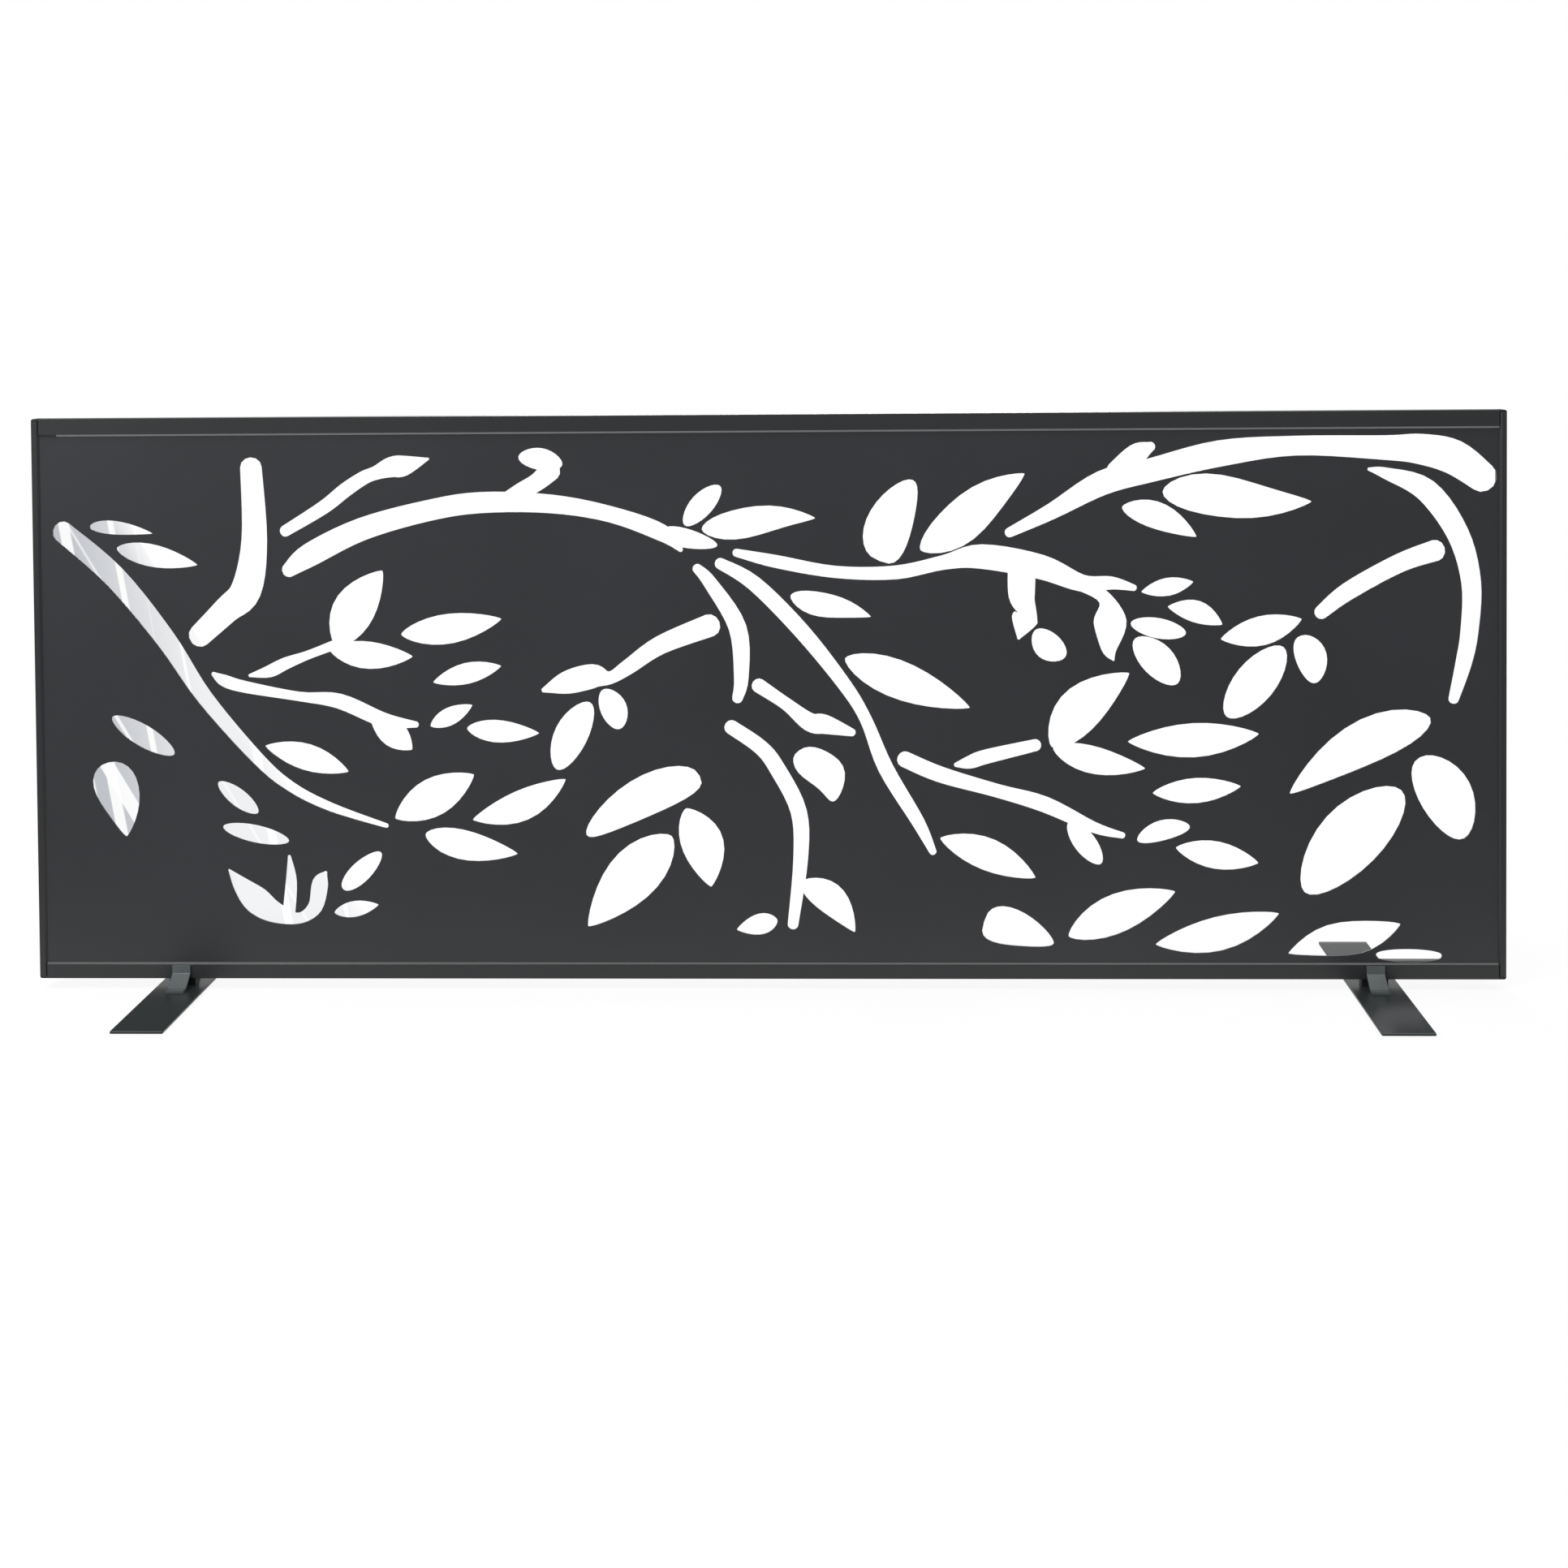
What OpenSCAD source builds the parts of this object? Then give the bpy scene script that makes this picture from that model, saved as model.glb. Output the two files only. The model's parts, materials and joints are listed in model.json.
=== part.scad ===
// Low free-standing screen panel: a cut-out sheet over a clear pane in a slim
// frame, held upright by two flat feet that are clamped to the bottom rail.
// X runs along the panel, the front faces -Y, Z is up and the floor is Z = 0.

/* [Panel] */
// Overall width of the framed panel
panel_w = 1800; // [1500:10:2100]
// Overall height of the framed panel, without the feet
panel_h = 693; // [600:1:800]

/* [Frame] */
// Depth of the frame profiles, front to back
frame_depth = 24; // [22:0.5:32]
// Width of a stile, seen from the front
stile_w = 9; // [8.5:0.5:14]
// Height of the top rail, seen from the front
top_rail_h = 22; // [18:0.5:30]
// Height of the bottom rail, seen from the front
bottom_rail_h = 20; // [19:0.5:30]
// Thickness of the lip in front of the sheet
lip_t = 3; // [2:0.1:4]
// Chamfer along the inner edge of that lip
lip_chamfer = 2.4; // [0.5:0.1:2.6]
// Wall between two hollows of a profile
profile_wall = 2; // [1.5:0.1:2.5]
// Solid web above the groove of the top rail
top_web = 7; // [4:0.5:8]
// Depth of the groove in a stile
stile_groove = 5; // [4:0.5:5.5]
// Thickness of the plastic caps on the stile ends
cap_t = 3; // [3:0.5:4]
// Radius of the outer edge of a cap
cap_r = 2.5; // [0.5:0.1:2.8]
// Length of the spigot that holds a cap in its stile
cap_spigot = 5; // [3:0.5:6]

/* [Sheet, pane and gaskets] */
// Thickness of the cut-out sheet
sheet_t = 2; // [1.5:0.1:2.5]
// Thickness of the clear pane behind the sheet
pane_t = 4; // [3:0.5:5]
// Thickness of the gaskets behind the pane
gasket_t = 3; // [2:0.5:4]
// Depth of the gaskets in the rail grooves
rail_gasket_h = 8; // [6:0.5:9]
// Depth of the gaskets in the stile grooves
stile_gasket_h = 4; // [3:0.5:4]
// Chamfer along the edge of a gasket that shows behind the pane
gasket_chamfer = 1; // [0.5:0.1:1.5]

/* [Feet] */
// Width of a foot plate, along the panel
plate_w = 62; // [50:1:90]
// Length of a foot plate, front to back
plate_l = 440; // [300:5:520]
// Thickness of a foot plate
plate_t = 3; // [3:0.5:5]
// Radius of the corners of a foot plate
plate_corner_r = 2; // [1:0.5:8]
// Chamfer round the upper edge of a foot plate
plate_chamfer = 0.8; // [0.3:0.1:1]
// Distance from the left end of the panel to the middle of the left foot
left_foot_inset = 177; // [100:1:500]
// Distance from the right end of the panel to the middle of the right foot
right_foot_inset = 158; // [100:1:500]
// Width of the spacer block under the rail
spacer_w = 32; // [30:1:60]
// Depth of the spacer block, front to back
spacer_d = 18; // [12:1:22]
// Height of the spacer block
spacer_h = 9; // [6:0.5:15]
// Diameter of the rubber pads
pad_d = 20; // [12:1:24]
// Thickness of the rubber pads
pad_t = 1; // [1:0.5:3]
// Distance from the edges of a foot plate to the middle of a pad
pad_inset = 14; // [13:1:18]

/* [Foot brackets] */
// Width of a bracket
bracket_w = 22; // [20:1:40]
// Thickness of a bracket
bracket_t = 3; // [3:0.5:4]
// Distance from the face of the rail to the bend where a bracket meets the plate
bracket_out = 25; // [18:0.5:28]
// Slope of the leaning part of a bracket, in degrees from upright
bracket_slope = 60; // [56:1:64]
// Length of the flange of a bracket, from its bend
bracket_flange_l = 12; // [11:0.5:20]
// Height of a bracket above the underside of the rail
bracket_rise = 17; // [14:0.5:18]
// Inner radius of a bracket's bends
bend_r = 1.5; // [0.5:0.5:2]

/* [Clamp slot and slide nuts] */
// Width of the slot mouth in the underside of the bottom rail
slot_mouth = 6.5; // [6:0.1:8]
// Thickness of the lips beside the slot mouth
slot_lip = 1.8; // [1.5:0.1:2.5]
// Width of the slot's inner channel
slot_w = 12; // [11:0.5:13]
// Height of the slot's inner channel
slot_h = 4; // [3.8:0.1:5]
// Length of a slide nut
nut_l = 40; // [34:1:60]
// Thickness of a slide nut
nut_t = 3.6; // [3:0.1:3.6]

/* [Screws] */
// Diameter of the frame screws and clamp screws
screw_d = 5; // [4:0.5:5]
// Length of the frame screws, head included
frame_screw_l = 25; // [20:1:40]
// Height of the frame screws above and below the panel's edges
port_z = 14; // [13:0.5:15]
// Length of the clamp screws, head included
clamp_screw_l = 16; // [15:0.5:17]
// Distance between the two clamp screws of a foot
clamp_pitch = 20; // [16:1:22]
// Diameter of the bracket screws
bracket_screw_d = 4; // [3:0.5:4]
// Length of the bracket screws, head included
bracket_screw_l = 5; // [4.5:0.1:5.3]
// Distance between the two screws of a bracket
bracket_screw_pitch = 11; // [10:0.5:12]
// Distance from a bracket's bend to its screws
bracket_screw_out = 6.5; // [6:0.1:7]

/* [Clearances] */
// Gap between the rail and a bracket, so that the loosened foot slides
slide_gap = 0.2; // [0.1:0.05:0.3]
// Gap round a screw in its hole
hole_gap = 0.15; // [0.1:0.05:0.25]
// Gap between a slide nut and the sides of its channel
nut_gap = 0.3; // [0.2:0.1:0.5]
// Gap round a cap's spigot
spigot_gap = 0.15; // [0.1:0.05:0.25]
// Gap beside the sheet and the pane in the stile grooves
infill_side_gap = 1; // [0.5:0.1:1.2]
// Gap above the sheet and the pane in the top rail
infill_top_gap = 2; // [1:0.5:3]

/* [Cut-out pattern] */
// Width of the panel that the pattern's places are drawn for
pattern_w = 1800; // [1700:10:1900]
// Height of the panel that the pattern's places are drawn for
pattern_h = 693; // [670:1:720]
// How far the round end of a cut branch bulges, as a share of its half width
end_bulge = 0.9; // [0:0.1:1]
// Steps along each side of a leaf
leaf_steps = 14; // [8:1:16]
// Steps between two places of a branch
branch_steps = 5; // [3:1:6]

/* [Hidden] */
$fn = 48;

// Length that a cutting shape runs past the face that it opens
over = 1;

// Heights above the floor
plate_z = pad_t;
flange_z = plate_z + plate_t;
frame_z = flange_z + spacer_h;

// Depth of the frame from its front face to its back face
front_y = -frame_depth / 2;
back_y = frame_depth / 2;
groove_front_y = front_y + lip_t;
groove_back_y = groove_front_y + sheet_t + pane_t + gasket_t;
port_y = (groove_back_y + back_y) / 2;

// Rails end at the inner faces of the stiles
rail_end_x = panel_w / 2 - stile_w;
groove_floor = slot_lip + slot_h + profile_wall;
groove_top = panel_h - top_web;
infill_x = rail_end_x + stile_groove - infill_side_gap;
infill_top = groove_top - infill_top_gap;
stile_chamber_w = stile_w - lip_t - profile_wall;

// Feet
left_foot_x = left_foot_inset - panel_w / 2;
right_foot_x = panel_w / 2 - right_foot_inset;
bracket_face_y = back_y + slide_gap;

// Bracket section, drawn with the rail's face at 0 and the plate's upper face at 0
bracket_l = bracket_out + bracket_flange_l;
bracket_h = frame_z + bracket_rise - flange_z;
bend_outer_r = bend_r + bracket_t;
bend_middle_r = bend_r + bracket_t / 2;
upper_bend_z = bracket_t / 2 + (bracket_out - bracket_t / 2) / tan(bracket_slope)
    + bend_middle_r * tan(bracket_slope / 2);
lower_bend_x = bracket_out + bend_middle_r * tan(45 - bracket_slope / 2);

// Countersunk head and its socket, as shares of a screw's diameter
head_share = 1.88;
socket_share = 0.6;
socket_depth_share = 0.4;
function head_d(d) = head_share * d;
function head_h(d) = (head_d(d) - d) / 2;

// Pattern scale where the panel isn't the size that the pattern is drawn for
scale_x = panel_w / pattern_w;
scale_z = panel_h / pattern_h;
scale_least = min(scale_x, scale_z);

// Fullness of a leaf: the power that its width follows towards both ends
slim = 0.78;
full = 0.5;

// Leaves: base x, base z, tip x, tip z, width, bow to the left, widest place, fullness, and
// sway, which shifts the half near the base to the left and the half near the tip to the right
leaves = [
    [-830, 560, -752, 551, 17, 2, 0.35, slim, 0],
    [-797, 533, -697, 512, 28, 0, 0.42, slim, 0],
    [-527, 410, -468, 504, 52, 5, 0.45, slim, 0],
    [-535, 407, -432, 398, 34, -3, 0.45, slim, 0],
    [-446, 425, -322, 444, 37, -2, 0.45, slim, 0],
    [-407, 366, -323, 386, 26, 1, 0.5, slim, 0],
    [-96, 558, -52, 606, 28, 1, 0.5, full, 0],
    [-75, 553, 64, 566, 37, 4, 0.38, slim, -2],
    [142, 513, 183, 612, 57, 6, 0.35, full, 0],
    [192, 526, 319, 619, 52, 0, 0.42, slim, -2.5],
    [33, 471, 131, 445, 30, 0, 0.38, slim, -1.5],
    [99, 394, 251, 333, 47, 0, 0.42, slim, 0],
    [330, 427, 367, 394, 34, -3, 0.5, full, 0],
    [437, 578, 527, 541, 33, 6, 0.42, slim, 0],
    [486, 596, 666, 583, 51, -2, 0.37, slim, 2.5],
    [460, 474, 523, 486, 22, 0, 0.5, slim, 0],
    [492, 456, 558, 434, 27, 5, 0.5, slim, 0],
    [447, 436, 514, 423, 25, 0, 0.5, full, 0],
    [452, 417, 504, 362, 40, 2, 0.5, full, 0],
    [556, 416, 654, 440, 36, -2, 0.5, slim, 0],
    [563, 321, 632, 406, 50, 0, 0.5, full, 0],
    [653, 420, 671, 362, 38, 4, 0.45, full, 0],
    [-806, 324, -729, 278, 27, 0, 0.5, full, 0],
    [-811, 268, -790, 176, 55, 3, 0.32, 0.75, -1],
    [-675, 243, -626, 205, 22, 0, 0.5, full, 0],
    [-670, 188, -588, 170, 22, 0, 0.5, full, 0],
    [-522, 110, -474, 156, 25, 0, 0.45, full, 0],
    [-533, 81, -478, 91, 20, 0, 0.45, slim, 0],
    [-616, 288, -513, 256, 33, 2, 0.5, slim, 0],
    [-488, 330, -434, 283, 34, 0, 0.55, slim, 0],
    [-411, 312, -359, 338, 22, 0, 0.45, slim, 0],
    [-366, 309, -277, 303, 28, -1, 0.42, slim, 0],
    [-256, 258, -214, 341, 41, 3, 0.5, full, 0],
    [-197, 357, -177, 308, 33, 2, 0.5, full, 0],
    [-456, 198, -358, 252, 47, 0, 0.48, slim, 0],
    [-360, 196, -245, 246, 38, -8, 0.5, slim, 0],
    [-419, 178, -305, 154, 37, -3, 0.4, slim, 0],
    [-80, 250, -220, 177, 50, -9, 0.38, full, 0],
    [-115, 176, -219, 64, 63, -2, 0.42, slim, 0],
    [-97, 210, -67, 113, 52, 6, 0.45, slim, 0],
    [14, 72, -36, 60, 26, 0, 0.4, slim, 0],
    [42, 281, 86, 219, 46, 10, 0.42, full, -3],
    [44, 120, 109, 57, 38, 9, 0.4, slim, 0],
    [371, 193, 410, 141, 27, 0, 0.5, full, 0],
    [350, 285, 445, 375, 55, 9, 0.42, slim, 0],
    [352, 284, 464, 258, 34, -4, 0.42, slim, 0],
    [214, 173, 330, 124, 40, 4, 0.48, slim, 0],
    [267, 70, 352, 43, 47, 4, 0.27, 0.6, 0],
    [370, 52, 500, 107, 48, 3, 0.45, slim, 0],
    [443, 291, 602, 300, 42, -3, 0.5, slim, 0],
    [473, 228, 580, 236, 31, -1, 0.48, slim, 0],
    [454, 170, 518, 187, 25, 4, 0.5, full, 0],
    [501, 161, 601, 142, 34, 0, 0.48, slim, 0],
    [809, 319, 639, 227, 55, -12, 0.38, 0.75, 0],
    [657, 106, 774, 231, 78, 5, 0.52, full, 0],
    [796, 271, 850, 172, 64, 6, 0.47, full, 0],
    [476, 42, 626, 80, 42, -6, 0.5, slim, 0],
    [637, 31, 773, 67, 42, 0, 0.52, slim, 3],
    [743, 29, 823, 28, 16, 0, 0.5, 0.35, 0],
    [-124, 549, -56, 533, 24, 0, 0.35, full, 0],
    [-299, 643, -245, 633, 27, 2, 0.5, full, 0]
];

// Branches: x, z and width at each place along the branch
branches = [
    [[-864, 554, 26], [-800, 498, 28], [-738, 421, 25], [-690, 348, 20], [-625, 272, 16],
     [-584, 237, 13], [-535, 212, 11], [-467, 189, 6]],
    [[-629, 632, 27], [-626, 543, 32], [-637, 481, 38], [-662, 456, 33], [-696, 424, 28]],
    [[-588, 553, 14], [-540, 582, 17], [-513, 603, 18], [-490, 618, 17], [-475, 624, 17],
     [-456, 631, 25], [-439, 633, 25], [-410, 641, 3]],
    [[-584, 505, 18], [-557, 524, 29], [-493, 555, 28], [-413, 577, 26], [-346, 587, 26],
     [-260, 585, 23], [-187, 572, 20], [-124, 549, 21], [-101, 528, 6]],
    [[-324, 590, 8], [-298, 600, 20], [-276, 612, 22], [-260, 626, 26]],
    [[-634, 375, 4], [-610, 380, 15], [-589, 390, 15], [-562, 400, 11], [-530, 412, 12]],
    [[-679, 377, 6], [-666, 369, 15], [-640, 361, 15], [-573, 349, 12], [-523, 343, 19],
     [-469, 320, 18], [-429, 314, 8]],
    [[-66, 435, 28], [-127, 411, 23], [-167, 384, 19], [-189, 371, 16], [-210, 373, 30],
     [-243, 365, 28], [-271, 356, 6]],
    [[-81, 505, 12], [-65, 487, 17], [-32, 432, 22], [-28, 371, 18], [-33, 345, 13]],
    [[-53, 511, 14], [-11, 486, 19], [46, 428, 20], [98, 362, 17], [124, 319, 15],
     [148, 259, 19], [187, 193, 16], [205, 156, 9]],
    [[-33, 524, 10], [16, 513, 16], [88, 500, 15], [161, 499, 17], [220, 511, 18],
     [266, 518, 30], [338, 505, 30], [388, 485, 21], [424, 485, 16], [451, 479, 8]],
    [[315, 500, 34], [315, 470, 32], [321, 451, 23], [318, 440, 32], [311, 418, 4]],
    [[388, 485, 20], [416, 466, 17], [422, 438, 40], [421, 405, 20], [426, 391, 3]],
    [[300, 547, 12], [352, 573, 20], [413, 607, 30], [471, 622, 29], [555, 642, 32],
     [647, 651, 24], [755, 648, 30], [797, 646, 37], [837, 636, 42], [872, 611, 36]],
    [[430, 620, 26], [455, 642, 26], [472, 651, 12]],
    [[735, 622, 4], [755, 617, 14], [804, 596, 28], [842, 543, 27], [858, 484, 24],
     [856, 425, 22], [849, 386, 20], [837, 342, 13]],
    [[677, 448, 17], [710, 474, 22], [770, 507, 23], [815, 523, 26]],
    [[-7, 361, 18], [27, 338, 16], [55, 316, 23], [74, 313, 24], [107, 303, 10]],
    [[-41, 310, 18], [-5, 285, 19], [15, 259, 20], [41, 206, 20], [43, 147, 18], [33, 66, 13]],
    [[171, 270, 20], [215, 251, 20], [284, 231, 17], [342, 214, 20], [401, 186, 14],
     [436, 176, 8]],
    [[234, 263, 6], [250, 266, 16], [271, 273, 18], [331, 287, 15]],
    [[-663, 134, 3], [-648, 115, 22], [-630, 97, 34], [-608, 82, 27], [-578, 74, 14],
     [-557, 88, 18], [-550, 118, 20], [-543, 131, 4]],
    [[-590, 76, 16], [-586, 120, 14], [-588, 151, 4]]
];

// Unit vector from a to b, and the vector a quarter turn to its left
function unit(a, b) = (b - a) / norm(b - a);
function left_of(v) = [-v[1], v[0]];
function flat_point(p) = [p[0], p[1]];

// Points along one side of a leaf, from its base to its tip, side 1 left and -1 right
function leaf_side(base, tip, width, bow, sway, widest, fullness, side) =
    let (
        length = norm(tip - base),
        along = unit(base, tip),
        power = ln(0.5) / ln(widest)
    )
    [
        for (i = [1:leaf_steps - 1])
            let (
                t = (1 - cos(180 * i / leaf_steps)) / 2,
                half = width / 2 * pow(sin(180 * pow(t, power)), fullness),
                aside = bow * 4 * t * (1 - t) + sway * sin(360 * t)
            )
            base + along * length * t + left_of(along) * (aside + side * half)
    ];

function reversed(list) = [for (i = [len(list) - 1:-1:0]) list[i]];

module leaf_cut(leaf) {
    base = [leaf[0] * scale_x, leaf[1] * scale_z];
    tip = [leaf[2] * scale_x, leaf[3] * scale_z];
    width = leaf[4] * scale_least;
    bow = leaf[5] * scale_least;
    sway = leaf[8] * scale_least;
    upper = leaf_side(base, tip, width, bow, sway, leaf[6], leaf[7], 1);
    lower = leaf_side(base, tip, width, bow, sway, leaf[6], leaf[7], -1);
    polygon(concat([base], upper, [tip], reversed(lower)));
}

// Smooth curve through four places, between the second and the third
function curve(a, b, c, d, t) =
    0.5 * (2 * b + (c - a) * t + (2 * a - 5 * b + 4 * c - d) * t * t
    + (3 * b - a - 3 * c + d) * t * t * t);

// Places along a branch, with its width, in steps
function branch_track(places) =
    let (last = len(places) - 1)
    concat(
        [
            for (i = [0:last - 1])
                for (step = [0:branch_steps - 1])
                    curve(
                        places[max(i - 1, 0)], places[i],
                        places[i + 1], places[min(i + 2, last)],
                        step / branch_steps
                    )
        ],
        [places[last]]
    );

// Points along one side of a branch
function branch_side(track, side) =
    let (last = len(track) - 1)
    [
        for (i = [0:last])
            let (
                before = flat_point(track[max(i - 1, 0)]),
                after = flat_point(track[min(i + 1, last)])
            )
            flat_point(track[i]) + left_of(unit(before, after)) * side * track[i][2] / 2
    ];

// Points round the end of a branch, from its left side to its right side
function branch_end(before, place) =
    let (
        out = unit(flat_point(before), flat_point(place)),
        half = place[2] / 2
    )
    [
        for (angle = [30:30:150])
            flat_point(place) + left_of(out) * cos(angle) * half
            + out * sin(angle) * half * end_bulge
    ];

module branch_cut(branch) {
    places = [for (p = branch) [p[0] * scale_x, p[1] * scale_z, p[2] * scale_least]];
    track = branch_track(places);
    last = len(track) - 1;
    polygon(concat(
        branch_side(track, 1),
        branch_end(track[last - 1], track[last]),
        reversed(branch_side(track, -1)),
        branch_end(track[1], track[0])
    ));
}

// A flat panel that stands in the grooves of the frame, with its back face at y
module infill(y, thickness) {
    translate([0, y, frame_z])
        rotate([90, 0, 0])
            linear_extrude(thickness)
                difference() {
                    translate([-infill_x, groove_floor])
                        square([2 * infill_x, infill_top - groove_floor]);
                    children();
                }
}

module cutout_sheet() {
    color("#3a3b3e")
        infill(groove_front_y + sheet_t, sheet_t) {
            for (leaf = leaves)
                leaf_cut(leaf);
            for (branch = branches)
                branch_cut(branch);
        }
}

module clear_pane() {
    color("#dfe8ea", 0.3)
        infill(groove_front_y + sheet_t + pane_t, pane_t);
}

// Chamfer of a lip, drawn as depth and height, whose inner edge is at 0 and that runs up
module lip_edge_cut() {
    polygon([
        [front_y - over, -over],
        [front_y + lip_chamfer + over, -over],
        [front_y - over, lip_chamfer + over]
    ]);
}

// Extrudes a profile, drawn as depth and height, along the panel between the stiles
module along_rail() {
    translate([-rail_end_x, 0, frame_z])
        rotate([90, 0, 90])
            linear_extrude(2 * rail_end_x)
                children();
}

module top_rail() {
    inner_edge = panel_h - top_rail_h;
    color("#36373a")
        along_rail()
            difference() {
                translate([front_y, inner_edge])
                    square([frame_depth, top_rail_h]);
                translate([groove_front_y, inner_edge - over])
                    square([groove_back_y - groove_front_y, groove_top - inner_edge + over]);
                translate([0, inner_edge])
                    lip_edge_cut();
                translate([port_y, panel_h - port_z])
                    circle(d = screw_d + 2 * hole_gap);
                translate([groove_back_y + profile_wall, panel_h - port_z + screw_d])
                    square([
                        back_y - groove_back_y - 2 * profile_wall,
                        port_z - screw_d - profile_wall
                    ]);
            }
}

module bottom_rail() {
    color("#3a3b3c")
        along_rail()
            difference() {
                translate([front_y, 0])
                    square([frame_depth, bottom_rail_h]);
                translate([groove_front_y, groove_floor])
                    square([groove_back_y - groove_front_y, bottom_rail_h - groove_floor + over]);
                translate([0, bottom_rail_h])
                    mirror([0, 1])
                        lip_edge_cut();
                translate([port_y, port_z])
                    circle(d = screw_d + 2 * hole_gap);
                translate([-slot_mouth / 2, -over])
                    square([slot_mouth, slot_lip + over]);
                translate([-slot_w / 2, slot_lip])
                    square([slot_w, slot_h]);
            }
}

// The right stile, with its inner face at the end of the rails
module stile() {
    difference() {
        translate([rail_end_x, 0, frame_z + cap_t])
            linear_extrude(panel_h - 2 * cap_t)
                difference() {
                    translate([0, front_y])
                        square([stile_w, frame_depth]);
                    translate([-over, groove_front_y])
                        square([stile_groove + over, groove_back_y - groove_front_y]);
                    mirror([1, -1])
                        lip_edge_cut();
                    translate([profile_wall, groove_back_y + profile_wall])
                        square([stile_chamber_w, back_y - groove_back_y - 2 * profile_wall]);
                }
        for (z = [port_z, panel_h - port_z])
            translate([panel_w / 2, port_y, frame_z + z])
                rotate([0, -90, 0])
                    screw_hole(screw_d, stile_w + over);
    }
}

module left_stile() {
    color("#3c3d40")
        mirror([1, 0, 0])
            stile();
}

module right_stile() {
    color("#34353a")
        stile();
}

// Hole for a countersunk screw whose head is flush with Z = 0
module screw_hole(d, depth) {
    hole_d = d + 2 * hole_gap;
    mouth_d = head_d(d) + 2 * hole_gap;
    translate([0, 0, -over])
        cylinder(d = hole_d, h = depth + over);
    cylinder(d1 = mouth_d, d2 = hole_d, h = head_h(d));
    translate([0, 0, -over])
        cylinder(d = mouth_d, h = over);
}

// Countersunk screw with a hexagon socket, its head flush with Z = 0
module screw(d, length) {
    difference() {
        union() {
            cylinder(d1 = head_d(d), d2 = d, h = head_h(d));
            cylinder(d = d, h = length);
        }
        translate([0, 0, -over])
            cylinder(d = socket_share * d, h = over + socket_depth_share * d, $fn = 6);
    }
}

module frame_screws() {
    color("#2c2c2e")
        for (side = [-1, 1])
            for (z = [port_z, panel_h - port_z])
                translate([side * panel_w / 2, port_y, frame_z + z])
                    rotate([0, -90 * side, 0])
                        screw(screw_d, frame_screw_l);
}

// Gasket section, drawn as depth and height, with a chamfer where it meets the pane's view
module gasket_section(height) {
    polygon([
        [0, 0], [gasket_t, 0], [gasket_t, height],
        [gasket_chamfer, height], [0, height - gasket_chamfer]
    ]);
}

module gasket_bottom() {
    color("#1d1d1e")
        along_rail()
            translate([groove_back_y - gasket_t, bottom_rail_h - rail_gasket_h])
                gasket_section(rail_gasket_h);
}

module gasket_top() {
    color("#1d1d1e")
        along_rail()
            translate([groove_back_y - gasket_t, panel_h - top_rail_h + rail_gasket_h])
                mirror([0, 1])
                    gasket_section(rail_gasket_h);
}

// The right-hand gasket, in the groove of its stile
module stile_gasket() {
    translate([rail_end_x, groove_back_y - gasket_t, frame_z + groove_floor])
        linear_extrude(infill_top - groove_floor)
            translate([stile_gasket_h, 0])
                rotate(90)
                    gasket_section(stile_gasket_h);
}

module gasket_left() {
    color("#1d1d1e")
        mirror([1, 0, 0])
            stile_gasket();
}

module gasket_right() {
    color("#1d1d1e")
        stile_gasket();
}

// Cap on the top end of the right stile, seated on the stile's end face
module stile_cap() {
    end_z = frame_z + panel_h - cap_t;
    translate([rail_end_x, back_y, end_z])
        rotate([90, 0, 0])
            linear_extrude(frame_depth) {
                square([stile_w - cap_r, cap_t]);
                square([stile_w, cap_t - cap_r]);
                translate([stile_w - cap_r, cap_t - cap_r])
                    intersection() {
                        circle(r = cap_r);
                        square(cap_r);
                    }
            }
    translate([
        rail_end_x + profile_wall + spigot_gap,
        groove_back_y + profile_wall + spigot_gap,
        end_z - cap_spigot
    ])
        cube([
            stile_chamber_w - 2 * spigot_gap,
            back_y - groove_back_y - 2 * profile_wall - 2 * spigot_gap,
            cap_spigot
        ]);
}

// Turns the top cap of a stile into its bottom cap
module to_bottom() {
    translate([0, 0, 2 * frame_z + panel_h])
        mirror([0, 0, 1])
            children();
}

module cap_top_left() {
    color("#303133")
        mirror([1, 0, 0])
            stile_cap();
}

module cap_top_right() {
    color("#303133")
        stile_cap();
}

module cap_bottom_left() {
    color("#303133")
        to_bottom()
            mirror([1, 0, 0])
                stile_cap();
}

module cap_bottom_right() {
    color("#303133")
        to_bottom()
            stile_cap();
}

// Places a foot, modelled about X = 0, at its clamp position
module at_left() {
    translate([left_foot_x, 0, 0])
        children();
}

module at_right() {
    translate([right_foot_x, 0, 0])
        children();
}

// Places of the clamp screws and of the bracket screws, both seen from below
module at_clamp_screws() {
    for (side = [-1, 1])
        translate([side * clamp_pitch / 2, 0, plate_z])
            children();
}

module at_bracket_screws(end) {
    for (side = [-1, 1])
        translate([
            side * bracket_screw_pitch / 2,
            end * (bracket_face_y + bracket_out + bracket_screw_out),
            plate_z
        ])
            children();
}

// Rectangle about the origin with round corners
module round_rectangle(w, l, r) {
    square([w - 2 * r, l], center = true);
    square([w, l - 2 * r], center = true);
    for (x = [r - w / 2, w / 2 - r])
        for (y = [r - l / 2, l / 2 - r])
            translate([x, y])
                circle(r = r);
}

// Section of a plate of that width, with its upper edges chamfered
module plate_section(w) {
    polygon([
        [-w / 2, 0], [w / 2, 0],
        [w / 2, plate_t - plate_chamfer], [w / 2 - plate_chamfer, plate_t],
        [plate_chamfer - w / 2, plate_t], [-w / 2, plate_t - plate_chamfer]
    ]);
}

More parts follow.
